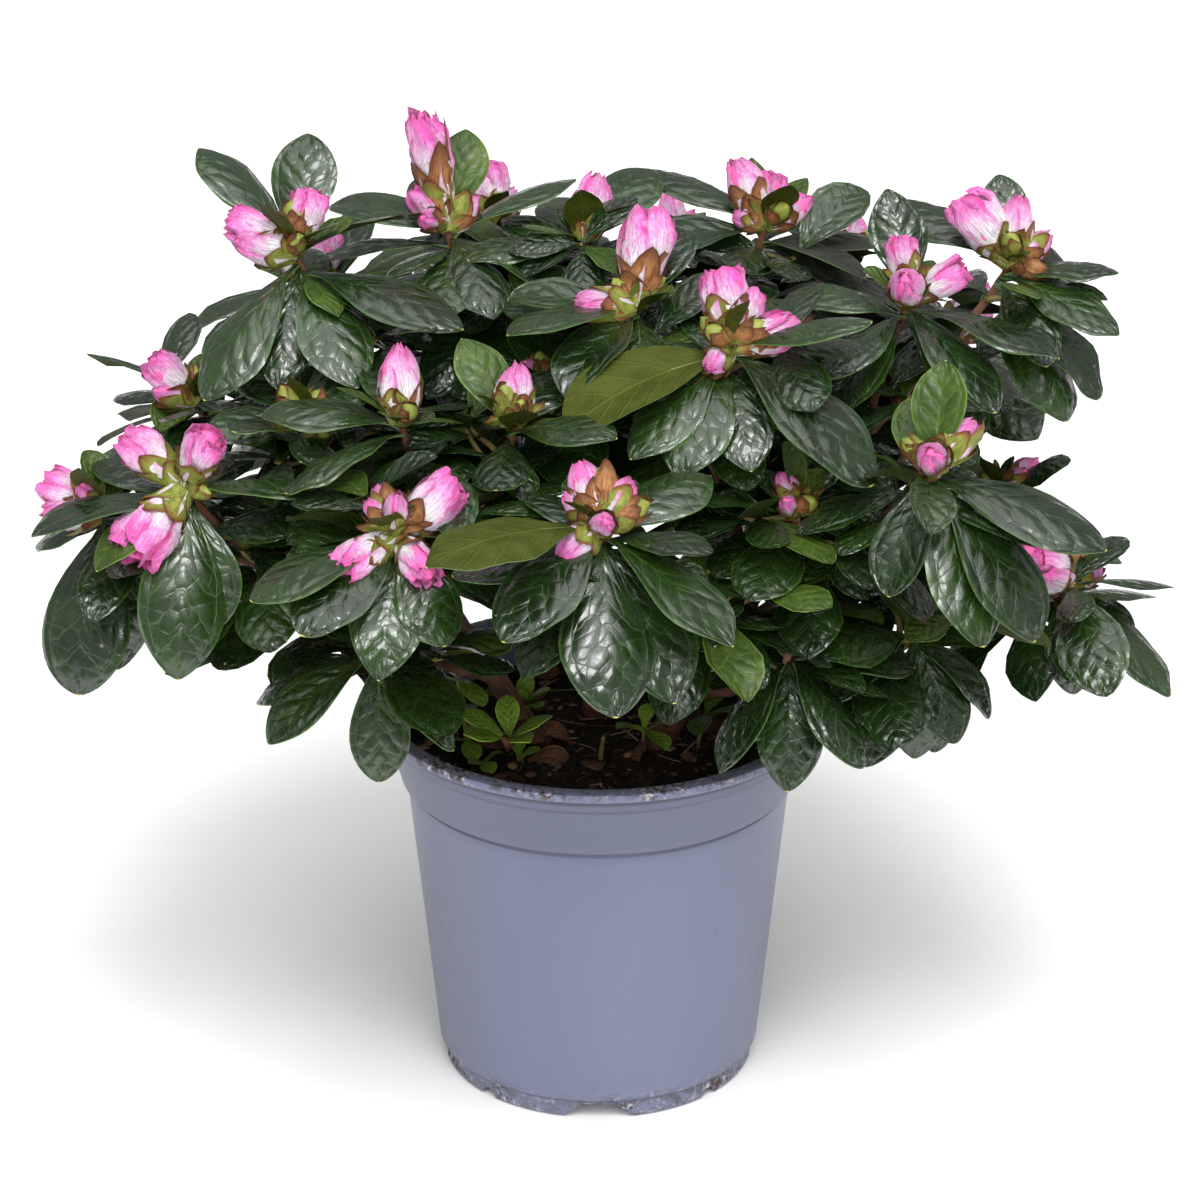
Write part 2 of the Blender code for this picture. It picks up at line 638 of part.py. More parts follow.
def leaf_plan(shoot, rng):
    """(distance below the tip, bearing, rise, length, roll) of every leaf of a shoot."""
    plan = []
    out = math.degrees(math.atan2(shoot.tip.y, shoot.tip.x))
    turn = rng.uniform(0, 360)
    for index, (bearing, rise, length) in enumerate(shoot.leaves):
        plan.append((TOP_LEAF_DROP + LEAF_SPACING * index, bearing, rise, length, rng.uniform(-12, 12)))
    for index in range(shoot.whorl):
        bearing = turn + GOLDEN_ANGLE * index
        facing = math.cos(math.radians(bearing - out))
        rise = WHORL_RISE - WHORL_DROOP * max(0.0, facing) + rng.uniform(-10, 8) - 2.0 * index
        length = shoot.size * rng.uniform(0.86, 1.14)
        plan.append((WHORL_DROP + LEAF_SPACING * index, bearing, rise, length, rng.uniform(-16, 16)))
    for index in range(shoot.lower):
        bearing = turn + 60 + GOLDEN_ANGLE * index
        rise = LOWER_RISE + rng.uniform(-14, 8)
        length = shoot.size * rng.uniform(0.8, 1.05)
        plan.append((LOWER_DROP + LOWER_SPACING * index, bearing, rise, length, rng.uniform(-16, 16)))
    return plan


def root_on(twig, below):
    return twig.core(max(0.15, 1 - below / twig.span))


def make_mass(name, pieces, parts, finish):
    """Fuse the pieces of a mass, fill what fusing seals and drop loose scraps."""
    loose = collection("loose_" + name)
    for index, bm in enumerate(pieces[1:]):
        add_object(f"{name}_{index}", mesh_from(bm, f"{name}_{index}"), loose)
    mass = add_object("leaves_" + name, mesh_from(pieces[0], "leaves_" + name), parts, finish)
    boolean(mass, "UNION", loose, "MANIFOLD")
    shape = mass.evaluated_get(bpy.context.evaluated_depsgraph_get())
    bm = bmesh.new()
    bm.from_mesh(shape.to_mesh())
    keep_largest_shell(bm)
    mass.modifiers.clear()
    bm.to_mesh(mass.data)
    bm.free()
    for piece in list(loose.objects):
        bpy.data.objects.remove(piece, do_unlink=True)
    bpy.data.collections.remove(loose)
    return mass


def keep_largest_shell(bm):
    bmesh.ops.remove_doubles(bm, verts=bm.verts[:], dist=WELD_DISTANCE)
    bmesh.ops.dissolve_degenerate(bm, edges=bm.edges[:], dist=WELD_DISTANCE)
    shells = []
    unseen = set(bm.faces)
    while unseen:
        shell = {unseen.pop()}
        edge_of_search = list(shell)
        while edge_of_search:
            for edge in edge_of_search.pop().edges:
                for face in edge.link_faces if len(edge.link_faces) == 2 else ():
                    if face in unseen:
                        unseen.discard(face)
                        shell.add(face)
                        edge_of_search.append(face)
        shells.append(shell)
    largest = max(shells, key=len)
    spare = [face for shell in shells if shell is not largest for face in shell]
    bmesh.ops.delete(bm, geom=spare, context="FACES")


def obstacle(room, owner, made):
    bm = bmesh.new()
    bm.from_mesh(made.evaluated_get(bpy.context.evaluated_depsgraph_get()).to_mesh())
    room.add(owner, bm, None)
    bm.free()


def main():
    clear_scene()
    parts = collection(OBJECT_NAME)
    cutters = collection("Cutters")
    finishes = {name: material(name, *look) for name, look in COLOURS.items()}
    room = Room()

    fixed = [make_pot(parts, cutters, finishes["pot"]),
             turned("soil", soil_profile(), SOIL_STEPS, parts, finishes["soil"])]
    stems = {}
    for name in STEMS:
        limb = stem_limb(name)
        bm = bent_bar(STEM_SIDES, limb.stations(), limb_place(limb))
        fixed.append(add_object("stem_" + name, mesh_from(bm, "stem_" + name), parts, finishes["bark"]))
        bm = bent_bar(STEM_SIDES, limb.stations(), limb_place(limb, GAP))
        stems[name] = cutter("round_" + name, mesh_from(bm, "round_" + name), cutters)
    boughs = {}
    for name, (stem_name, *_) in MASSES.items():
        limb = bough_limb(name)
        boughs[name] = limb
        bm = bent_bar(BOUGH_SIDES, limb.stations(), limb_place(limb))
        bough = add_object("bough_" + name, mesh_from(bm, "bough_" + name), parts, finishes["bark"])
        boolean(bough, "DIFFERENCE", stems[stem_name])
        fixed.append(bough)
    for made in fixed:
        obstacle(room, None, made)

    pieces = {}
    twigs = {}
    dice = {name: random.Random(index + 1) for index, name in enumerate(MASSES)}
    for name in MASSES:
        twigs[name] = twigs_of(name, boughs[name], dice[name])
        pieces[name] = []
        for twig in twigs[name]:
            body = bent_bar(TWIG_SIDES, twig.stations(), limb_place(twig))
            room.add(name, body, BVHTree.FromBMesh(body))
            pieces[name].append(body)
    for name in MASSES:
        for twig, shoot in zip(twigs[name], MASSES[name][3]):
            for bearing, rise, length in shoot.buds:
                bud = Bud(twig.core(1 - BUD_SINK / twig.span), bearing, rise, length)
                body, grown = bud.body(), bud.body(GAP)
                if room.is_free(name, grown, None):
                    room.add(name, body, None)
                    pieces[name].append(body)
                else:
                    body.free()
                grown.free()
    for name in MASSES:
        for twig, shoot in zip(twigs[name], MASSES[name][3]):
            for below, bearing, rise, length, roll in leaf_plan(shoot, dice[name]):
                body = settle_leaf(room, name, root_on(twig, below), bearing, rise, length, roll)
                if body:
                    pieces[name].append(body)
    for name in MASSES:
        make_mass(name, pieces[name], parts, finishes["leaf"])


main()
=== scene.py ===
"""A budding azalea in a 15 cm nursery pot, dressed over its solids.

The wood, leaves and buds grow by the same tables and the same seeded rule as the
solids, so each leaf lies where its solid does, and finer twigs and leaves fill the
crown within the same reach. Sizes are in millimetres and are turned into metres by MM.
Bearings run anticlockwise from +X as seen from above, and a rise is an angle above the
horizontal. A leaf or bud is (bearing, rise, length).
"""
import math
import random

import bmesh
import bpy
from mathutils import Matrix, Vector, noise
from mathutils.bvhtree import BVHTree


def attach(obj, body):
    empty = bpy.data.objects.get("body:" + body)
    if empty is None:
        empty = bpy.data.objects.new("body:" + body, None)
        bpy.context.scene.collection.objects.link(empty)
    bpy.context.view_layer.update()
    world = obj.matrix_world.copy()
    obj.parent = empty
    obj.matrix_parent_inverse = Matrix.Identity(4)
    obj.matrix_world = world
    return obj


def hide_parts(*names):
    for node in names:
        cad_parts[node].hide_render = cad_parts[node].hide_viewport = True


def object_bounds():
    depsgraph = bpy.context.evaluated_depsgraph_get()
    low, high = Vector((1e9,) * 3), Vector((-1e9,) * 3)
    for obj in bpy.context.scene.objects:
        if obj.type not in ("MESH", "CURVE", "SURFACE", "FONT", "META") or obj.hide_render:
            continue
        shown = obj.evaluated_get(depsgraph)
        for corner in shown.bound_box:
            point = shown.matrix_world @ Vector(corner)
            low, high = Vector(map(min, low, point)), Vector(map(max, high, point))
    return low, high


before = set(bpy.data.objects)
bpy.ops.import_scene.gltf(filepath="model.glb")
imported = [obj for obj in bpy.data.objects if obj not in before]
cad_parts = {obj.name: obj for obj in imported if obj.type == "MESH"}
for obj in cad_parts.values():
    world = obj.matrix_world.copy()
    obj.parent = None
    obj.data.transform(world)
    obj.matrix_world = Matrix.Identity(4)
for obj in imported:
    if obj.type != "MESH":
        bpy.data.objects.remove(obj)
packed_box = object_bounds()

MM = 0.001
GAP = 0.3
NOISE_SEED = 3

# without a seed of its own, the noise that crumples petals would change from run to run
noise.seed_set(NOISE_SEED)

# ---- pot and peat ----------------------------------------------------------------
POT_HEIGHT = 130.0
RIM_RADIUS = 75.0
RIM_WIDTH = 5.6
RIM_FACE = 2.8
COLLAR_RADIUS = 72.2
COLLAR_BOTTOM = 122.4
SHOULDER_TOP_RADIUS = 65.8
SHOULDER_RADIUS = 63.6
SHOULDER_HEIGHT = 104.0
WALL_FOOT_RADIUS = 53.4
WALL_THICKNESS = 1.6
FOOT_HEIGHT = 6.8
FOOT_RADIUS = 52.0
FOOT_RING_WIDTH = 9.0
SOIL_LEVEL = 117.0
SOIL_RADIUS = 67.6

# ---- wood ------------------------------------------------------------------------
FLARE = 0.85
FLARE_REACH = 7.0
TWIG_SIDES = 3
RING_SPACING = 20.0
TWIG_ROOT_RADIUS = 1.8
TWIG_TIP_RADIUS = 1.25

# name: foot, heading at the foot, tip, heading at the tip, radius at foot and tip
STEMS = {
    "west": ((-22, -6, SOIL_LEVEL + GAP), (-0.35, -0.25, 1), (-54, -28, 186), (-0.45, -0.05, 1), 3.7, 2.8),
    "east": ((20, -8, SOIL_LEVEL + GAP), (0.4, -0.2, 1), (52, -34, 188), (0.35, -0.2, 1), 3.7, 2.8),
    "back": ((0, 17, SOIL_LEVEL + GAP), (0.0, 0.2, 1), (-4, 40, 192), (-0.1, 0.15, 1), 3.6, 2.7),
}

# ---- leaves and buds -------------------------------------------------------------
LEAF_WIDTH = 0.235
LEAF_THICKNESS = 0.014
LEAF_STATIONS = (0.0, 0.13, 0.44, 0.78, 1.0)
SMALL_LEAF_STATIONS = (0.0, 0.16, 0.6, 1.0)
BROAD_LEAF = 50.0
LEAF_BOW = 34.0
PETIOLE = 0.08
PETIOLE_HALF_WIDTH = 1.0
BLADE_START = 0.16
LEAF_SPACING = 1.15
GOLDEN_ANGLE = 137.5
BAR_CORNER = math.sin(math.radians(120))
LEAF_CLEARANCE = 0.4
BUD_STATIONS = (0.0, 0.36, 0.8, 1.0)
BUD_SIDES = 4
BUD_WIDTH = 0.3
BUD_SINK = 2.0
# ways in which a leaf is turned aside, as (swing, lift, share of its length)
NUDGES = tuple((swing, lift, share)
               for share in (1.0, 0.86, 0.72)
               for swing, lift in ((0, 0), (7, 0), (-7, 0), (0, 8), (0, -8), (14, 5), (-14, 5),
                                   (12, -8), (-12, -8), (22, 0), (-22, 0), (0, 16), (0, -16),
                                   (28, 10), (-28, 10)))


class Shoot:
    """One twig end: its place, its whorl, its buds, and how many leaves the rule adds."""

    def __init__(self, tip, leaves=(), buds=(), whorl=0, lower=3, size=50):
        self.tip = Vector(tip)
        self.leaves = leaves
        self.buds = buds
        self.whorl = whorl
        self.lower = lower
        self.size = size


# mass: stem that its bough leaves, how far up, how far the bough runs to the shoots, its shoots
MASSES = {
    "west_top": ("west", 0.93, 0.4, (
        Shoot((-98, 12, 283), ((138, 34, 52), (85, 52, 44), (-128, -36, 58), (-100, -40, 46), (-64, -38, 52),
               (-26, -10, 60), (-60, -12, 26)),
              ((172, 28, 25), (62, 58, 22), (195, 18, 21), (95, 72, 18))),
        Shoot((-94, -28, 238), ((46, 34, 42), (125, 20, 46), (-125, 20, 42), (-60, -20, 44)),
              ((200, 50, 14), (-60, 10, 16)), lower=2))),
    "west_tip": ("west", 0.66, 0.42, (
        Shoot((-131, -52, 228), ((-24, 8, 52), (-93, -54, 62), (-72, -60, 46), (-138, -20, 42), (-164, -6, 54),
               (140, 5, 46)),
              ((170, 42, 26), (-35, 62, 25), (-128, -30, 30), (-40, 5, 12))),
        Shoot((-159, -36, 212), ((-104, -56, 60), (-82, -62, 50), (95, 12, 38), (150, -25, 36)),
              ((165, 25, 22), (-172, 5, 20)), lower=2))),
    "front_west": ("west", 0.8, 0.4, (
        Shoot((-62, -100, 231), ((-152, -12, 52), (-62, -38, 40), (-128, -18, 50), (-100, -42, 48),
               (15, 5, 36)),
              ((25, 35, 25), (-140, -15, 25), (-55, -22, 20), (120, 45, 18)), lower=2),
        Shoot((-62, -58, 252), ((170, -5, 46), (120, 5, 44), (-150, -15, 44)), ((95, 75, 25),), lower=2),
        Shoot((-27, -56, 250), ((130, 45, 34), (-30, 10, 40), (60, 15, 40), (-95, -5, 36)),
              ((75, 68, 21),), lower=2))),
    "front": ("east", 0.55, 0.4, (
        Shoot((0, -113, 240), ((-148, 2, 62), (-128, -24, 52), (-84, -42, 62), (-42, -22, 58), (-58, -44, 58),
               (40, 14, 46), (135, 12, 34), (-168, -8, 48), (75, 20, 32)),
              ((120, 55, 22), (80, 62, 20), (150, 35, 16), (30, 48, 18), (8, 25, 18), (-80, 30, 14),
               (-140, -20, 18)), lower=2),
        Shoot((34, -76, 196), (), (), whorl=6, lower=2, size=46))),
    "top_front": ("east", 0.95, 0.4, (
        Shoot((11, -10, 273), ((-150, 2, 48), (60, 30, 38), (-120, -14, 48), (-88, -16, 46), (170, 8, 44)),
              ((70, 62, 32), (-165, 8, 20), (160, 50, 12)), lower=2),
        Shoot((42, -42, 271), ((-16, 18, 48), (-42, -27, 66), (-150, -17, 60), (-134, -26, 50), (-112, -30, 48),
               (-78, -34, 42), (60, 12, 44), (100, 22, 32)),
              ((105, 62, 26), (60, 52, 20), (5, 18, 22), (-125, -12, 14), (170, 45, 14))))),
    "top_west": ("back", 0.99, 0.4, (
        Shoot((-50, 35, 283), ((75, 52, 36), (152, 4, 46), (32, 14, 50), (110, 12, 44), (-30, -14, 46),
               (180, -6, 46), (-95, -12, 42)),
              ((150, 76, 41), (170, 55, 18), (40, 35, 16), (20, 60, 14))),
        Shoot((-4, 40, 277), ((-150, -4, 44), (55, 22, 44), (-75, -12, 40), (5, -6, 40), (100, 8, 42)),
              ((60, 64, 23),)))),
    "top_east": ("back", 0.95, 0.4, (
        Shoot((55, 50, 279), ((150, 12, 50), (-165, -4, 46), (100, 62, 26), (40, 48, 26), (-30, -8, 40),
               (5, -2, 42), (-100, 6, 34), (70, 5, 42)),
              ((140, 58, 24), (80, 62, 18), (10, 30, 18), (-170, 20, 12))),
        Shoot((84, 84, 252), (), ((60, 55, 18),), whorl=6, size=46))),
    "east_top": ("east", 0.86, 0.4, (
        Shoot((100, -2, 273), ((108, 54, 38), (60, 30, 20), (-55, -24, 52), (-22, -8, 54), (-130, -12, 46),
               (160, 5, 40)),
              ((-100, 40, 20), (110, 62, 20), (5, 28, 20)), lower=2),
        Shoot((135, 28, 274), ((140, 14, 48), (98, 52, 32), (40, 38, 24), (-12, 5, 38), (-40, -12, 48),
               (-72, -22, 44), (-56, -42, 54), (-40, -36, 52), (15, -18, 44)),
              ((165, 50, 28), (70, 70, 22), (20, 30, 16), (-30, -5, 14)), lower=2))),
    "east_front": ("east", 0.7, 0.38, (
        Shoot((105, -72, 243), ((75, 64, 34), (-118, -46, 44), (-82, -50, 60), (-46, -40, 64), (-22, -14, 62),
               (100, 38, 30), (-5, -10, 36)),
              ((-100, 38, 17), (25, 42, 20), (170, 40, 14)), lower=2),
        Shoot((62, -58, 222), (), ((-120, 40, 12),), whorl=6, lower=2, size=50))),
    "east_tip": ("east", 0.5, 0.42, (
        Shoot((153, -15, 178), ((-68, -42, 40), (-40, -30, 52), (-85, -30, 42), (35, -28, 36), (65, 5, 36),
               (90, 40, 20), (-60, -58, 34)),
              ((-130, 38, 32), (-20, 40, 16)), lower=2),
        Shoot((134, 34, 190), (), ((30, 30, 18),), whorl=6, size=46))),
    "east_low": ("east", 0.3, 0.42, (
        Shoot((103, -46, 176), ((-92, -70, 42), (-150, -28, 36), (-62, -58, 40), (-30, -48, 38),
              (-125, -66, 44)), (), lower=2),
        Shoot((60, -70, 178), ((-92, -60, 44), (-38, -40, 44), (-140, -45, 44), (10, -25, 42)), (), lower=1))),
    "west_low": ("west", 0.42, 0.42, (
        Shoot((-70, -72, 180), ((-88, -64, 42), (-150, -30, 46), (-35, -40, 40), (170, -25, 46)), (), lower=2),
        Shoot((-106, -18, 180), (), (), whorl=6, lower=2, size=44))),
    "inner_top": ("back", 0.9, 0.4, (
        Shoot((-18, -12, 244), (), ((100, 60, 14),), whorl=7, lower=2, size=48),)),
    "inner_east": ("east", 0.62, 0.4, (
        Shoot((62, 22, 246), (), ((90, 60, 12),), whorl=7, lower=2, size=46),)),
    "inner_back": ("back", 0.92, 0.4, (
        Shoot((8, 64, 236), (), ((90, 60, 12),), whorl=6, lower=2, size=46),
        Shoot((-58, 66, 228), (), (), whorl=6, lower=1, size=44))),
    "back_west_top": ("back", 0.66, 0.4, (
        Shoot((-96, 74, 248), (), ((150, 55, 22), (100, 40, 18), (60, 66, 20)), whorl=8),
        Shoot((-134, 34, 222), (), ((170, 45, 22), (-160, 25, 16)), whorl=7))),
    "back_top": ("back", 0.69, 0.4, (
        Shoot((-36, 92, 262), (), ((110, 60, 24), (60, 40, 18)), whorl=8),
        Shoot((24, 98, 254), (), ((80, 60, 20), (140, 45, 18), (30, 40, 16)), whorl=8))),
    "back_east_top": ("back", 0.58, 0.4, (
        Shoot((70, 106, 222), (), ((80, 50, 22), (40, 35, 18)), whorl=7),
        Shoot((120, 76, 228), (), ((45, 50, 24), (20, 30, 18)), whorl=8))),
    "back_west_low": ("back", 0.36, 0.42, (
        Shoot((-92, 94, 190), (), ((140, 40, 20),), whorl=7),
        Shoot((-140, 16, 178), (), ((170, 20, 18),), whorl=6, lower=2, size=46))),
    "back_low": ("back", 0.5, 0.42, (
        Shoot((-38, 115, 204), (), ((110, 45, 20), (70, 30, 16)), whorl=7),
        Shoot((30, 117, 196), (), ((85, 45, 20),), whorl=7))),
    "back_east_low": ("back", 0.28, 0.42, (
        Shoot((98, 84, 180), (), ((50, 40, 20),), whorl=7),)),
    "basal": ("west", 0.1, 0.5, (
        Shoot((-30, -44, 136), ((160, 25, 18), (-150, 20, 17), (-60, 30, 16), (20, 25, 17), (95, 50, 16)), (),
              lower=0),)),
}
BOUGH_ROOT_RADIUS = 2.4
BOUGH_TIP_RADIUS = 1.8
BOUGH_SAG = 0.06
BOUGH_OFFSET = 0.9


# ---- finishes --------------------------------------------------------------------
VEIN_PAIRS = 6.0
POT_COLOUR = (0.119, 0.130, 0.196)


def shaded(colour, share):
    return tuple(share * part for part in colour)


class Finish:
    """A node material, with short ways to lay colour and relief over its shader."""

    def __init__(self, name, colour, roughness, **values):
        self.material = bpy.data.materials.new(name)
        self.material.use_nodes = True
        self.material.diffuse_color = (*colour, 1.0)
        self.tree = self.material.node_tree
        self.shader = self.tree.nodes["Principled BSDF"]
        self.shader.inputs["Base Color"].default_value = (*colour, 1.0)
        self.shader.inputs["Roughness"].default_value = roughness
        for socket, value in values.items():
            self.shader.inputs[socket.replace("_", " ")].default_value = value

    def node(self, kind, **settings):
        made = self.tree.nodes.new(kind)
        for setting, value in settings.items():
            setattr(made, setting, value)
        return made

    def feed(self, socket, value):
        """Links an output to a socket, or sets a plain number or colour on it."""
        if isinstance(value, bpy.types.NodeSocket):
            self.tree.links.new(value, socket)
        elif isinstance(value, tuple):
            is_colour = len(value) == 3 and len(socket.default_value) == 4
            socket.default_value = (*value, 1.0) if is_colour else value
        else:
            socket.default_value = value

    def stretched(self, where, stretch):
        mapping = self.node("ShaderNodeMapping")
        mapping.inputs["Scale"].default_value = stretch
        self.feed(mapping.inputs["Vector"], where)
        return mapping.outputs["Vector"]

    def on_object(self, stretch=(1.0, 1.0, 1.0)):
        return self.stretched(self.node("ShaderNodeTexCoord").outputs["Object"], stretch)

    def on_map(self, name, stretch=(1.0, 1.0, 1.0)):
        return self.stretched(self.node("ShaderNodeUVMap", uv_map=name).outputs["UV"], stretch)

    def on_blade(self):
        """How far a point lies along a leaf, petal or scale, and from its midline: 1 at a margin."""
        along, across = self.split(self.on_map("blade"))[:2]
        return along, self.maths("ABSOLUTE", self.scaled(across, 2.0, -1.0))

    def split(self, vector):
        made = self.node("ShaderNodeSeparateXYZ")
        self.feed(made.inputs[0], vector)
        return made.outputs

    def cloud(self, where, scale, detail=3.0, rough=0.5, warp=0.0, axes="3D"):
        made = self.node("ShaderNodeTexNoise", noise_dimensions=axes)
        self.feed(made.inputs["Vector"], where)
        made.inputs["Scale"].default_value = scale
        made.inputs["Detail"].default_value = detail
        made.inputs["Roughness"].default_value = rough
        made.inputs["Distortion"].default_value = warp
        return made.outputs["Fac"]

    def cells(self, where, scale, feature="DISTANCE_TO_EDGE", axes="3D"):
        made = self.node("ShaderNodeTexVoronoi", feature=feature, voronoi_dimensions=axes)
        self.feed(made.inputs["Vector"], where)
        made.inputs["Scale"].default_value = scale
        return made.outputs["Distance"]

    def maths(self, operation, *values):
        made = self.node("ShaderNodeMath", operation=operation)
        for socket, value in zip(made.inputs, values):
            self.feed(socket, value)
        return made.outputs[0]

    def times(self, first, second):
        return self.maths("MULTIPLY", first, second)

    def scaled(self, value, factor, base):
        """A value times a factor, on top of a base."""
        return self.maths("MULTIPLY_ADD", value, factor, base)

    def most(self, first, second):
        return self.maths("MAXIMUM", first, second)

    def step(self, value, low, high, out_low=0.0, out_high=1.0):
        made = self.node("ShaderNodeMapRange", interpolation_type="SMOOTHSTEP")
        for socket, number in zip(made.inputs, (value, low, high, out_low, out_high)):
            self.feed(socket, number)
        return made.outputs["Result"]

    def mix(self, share, first, second):
        made = self.node("ShaderNodeMix", data_type="RGBA")
        self.feed(made.inputs[0], share)
        self.feed(made.inputs[6], first)
        self.feed(made.inputs[7], second)
        return made.outputs[2]

    def paint(self, colour):
        self.feed(self.shader.inputs["Base Color"], colour)

    def polish(self, value):
        self.feed(self.shader.inputs["Roughness"], value)

    def emboss(self, *reliefs):
        """Relief from heights laid over each other, each with its depth in millimetres."""
        height = 0.0
        for pattern, depth in reliefs:
            height = self.scaled(pattern, depth, height)
        made = self.node("ShaderNodeBump")
        made.inputs["Distance"].default_value = MM
        self.feed(made.inputs["Height"], height)
        self.feed(self.shader.inputs["Normal"], made.outputs["Normal"])


def blade_finish(name, dark, light, rough, veins=1.0, **values):
    """Leathery leaf: slanted veins sunk in pairs that loop short of the edge, and a net between."""
    made = Finish(name, dark, rough, **values)
    along, off_rib = made.on_blade()
    drift = made.cloud(made.on_map("blade", (3.0, 2.0, 1.0)), 1.6, 2.0, axes="2D")
    ahead = made.scaled(off_rib, -0.09, along)
    count = made.scaled(drift, 0.9, made.times(ahead, VEIN_PAIRS))
    off_vein = made.times(made.maths("PINGPONG", count, 0.5), 2.0)
    edge = made.scaled(drift, 0.14, made.maths("SUBTRACT", off_rib, 0.84))
    off_loop = made.times(made.maths("ABSOLUTE", edge), 5.0)
    inside_loop = made.most(off_vein, made.step(off_rib, 0.72, 0.80))
    off_line = made.maths("MINIMUM", inside_loop, off_loop)
    pillow = made.step(off_line, 0.0, 0.8)
    groove = made.step(off_line, 0.01, 0.12)
    quilt = made.on_map("blade", (9.5, 4.6, 1.0))
    blister = made.step(made.cells(quilt, 1.0, "F1", "2D"), 0.10, 0.85, 1.0, 0.0)
    net = made.step(made.cells(quilt, 1.0, axes="2D"), 0.0, 0.05)
    grain = made.cloud(made.on_object(), 1500.0, 2.0)
    made.emboss((pillow, 0.22 * veins), (blister, 0.30 * veins), (groove, 0.06 * veins),
                (net, 0.03 * veins), (grain, 0.04))
    shade = made.cloud(made.on_object(), 95.0, 3.0)
    colour = made.mix(made.step(shade, 0.35, 0.72), dark, light)
    sunk = made.most(made.scaled(groove, -0.32, 0.32), made.scaled(net, -0.14, 0.14))
    rim = made.step(off_rib, 0.91, 1.0, 0.0, 0.85)
    rib = made.times(made.step(off_rib, 0.07, 0.02, 0.0, 0.6), made.step(along, 0.75, 0.15))
    share = made.most(made.most(sunk, rim), rib)
    made.paint(made.mix(share, colour, shaded(light, 2.2)))
    dust = made.cloud(made.on_object(), 340.0, 4.0, 0.65)
    made.polish(made.maths("ADD", made.step(dust, 0.3, 0.75, rough - 0.06, rough + 0.12), sunk))
    return made.material


def plain_leaf_finish(name, dark, light, rough, **values):
    """Underside of a leaf, with slanted veins and a net that stand out a little."""
    made = Finish(name, dark, rough, **values)
    along, off_rib = made.on_blade()
    count = made.times(made.scaled(off_rib, -0.16, along), VEIN_PAIRS)
    off_vein = made.step(made.maths("PINGPONG", count, 0.5), 0.0, 0.09)
    vein = made.maths("MINIMUM", off_vein, made.step(off_rib, 0.02, 0.07))
    net = made.step(made.cells(made.on_map("blade", (13.0, 6.0, 1.0)), 1.0, axes="2D"), 0.0, 0.08)
    made.emboss((vein, -0.30), (net, -0.14))
    shade = made.cloud(made.on_object(), 120.0, 3.0)
    colour = made.mix(made.step(shade, 0.3, 0.7), dark, light)
    raised = made.most(made.scaled(vein, -0.40, 0.40), made.scaled(net, -0.16, 0.16))
    made.paint(made.mix(raised, colour, shaded(light, 1.7)))
    return made.material


def petal_finish(name, colour, stops):
    """Crumpled petal that turns from a white foot to a deep pink edge, and is deeper at its sides."""
    made = Finish(name, colour, 0.5, Sheen_Weight=0.2, Subsurface_Weight=0.15, Subsurface_Scale=0.002)
    made.shader.inputs["Subsurface Radius"].default_value = (1.0, 0.45, 0.6)
    along, off_middle = made.on_blade()
    side = made.maths("POWER", off_middle, 4.0)
    mottle = made.cloud(made.on_object(), 620.0, 5.0, 0.75)
    blotch = made.cloud(made.on_object(), 130.0, 3.0)
    level = made.scaled(mottle, 0.62, made.scaled(blotch, 0.35, -0.485))
    level = made.maths("ADD", made.scaled(side, 0.30, along), level)
    shade = stops[0][2]
    for start, stop, deeper in stops[1:]:
        shade = made.mix(made.step(level, start, stop), shade, deeper)
    made.paint(shade)
    creases = made.cloud(made.on_map("blade", (1.6, 8.0, 1.0)), 2.0, 4.0, 0.62, 1.6, "2D")
    made.emboss((creases, 1.6), (made.cloud(made.on_object(), 300.0, 3.0), 1.3))
    return made.material


def core_finish(name, colour):
    """The shaded inside of a bud, seen only between its petals."""
    made = Finish(name, colour, 0.6)
    made.emboss((made.cloud(made.on_object(), 260.0, 3.0), 0.8))
    return made.material


def scale_finish(name, dark, light, turned, start):
    """Bud scale streaked along its length, which turns another colour at its tip and sides."""
    made = Finish(name, dark, 0.5, Specular_IOR_Level=0.4)
    along, off_middle = made.on_blade()
    ribs = made.cloud(made.on_map("blade", (1.4, 14.0, 1.0)), 2.0, 3.0, axes="2D")
    blotch = made.cloud(made.on_object(), 330.0, 3.0, 0.6)
    grain = made.scaled(ribs, 0.5, made.times(blotch, 0.5))
    colour = made.mix(made.step(grain, 0.38, 0.60), dark, light)
    side = made.maths("POWER", off_middle, 3.0)
    age = made.maths("ADD", made.scaled(side, 0.30, along), made.maths("SUBTRACT", grain, 0.5))
    made.paint(made.mix(made.step(age, start, start + 0.3), colour, turned))
    made.emboss((ribs, 0.45))
    return made.material


def bark_finish(name, dark, light, rough, fissure):
    """Stringy bark: fissures that run along the limb, and paler ridges."""
    made = Finish(name, dark, rough)
    strings = made.cloud(made.on_map("bark", (16.0, 1.6, 1.0)), 2.2, 6.0, 0.62, 0.6)
    rings = made.cloud(made.on_map("bark", (1.0, 9.0, 1.0)), 2.0, 3.0)
    blotch = made.cloud(made.on_object(), 150.0, 4.0, 0.6)
    tone = made.scaled(blotch, 0.6, made.times(strings, 0.6))
    made.paint(made.mix(made.step(tone, 0.42, 0.78), dark, light))
    made.emboss((made.scaled(rings, 0.25, strings), fissure))
    made.polish(made.step(strings, 0.3, 0.7, rough + 0.1, rough - 0.1))
    return made.material


def peat_finish(name, dark, light):
    """Matt crumbly peat."""
    made = Finish(name, dark, 0.92)
    grain = made.cloud(made.on_object(), 420.0, 8.0, 0.72)
    lumps = made.cells(made.on_object(), 380.0, "F1")
    made.paint(made.mix(made.step(grain, 0.42, 0.72), dark, light))
    made.emboss((grain, 1.6), (lumps, 0.8))
    return made.material


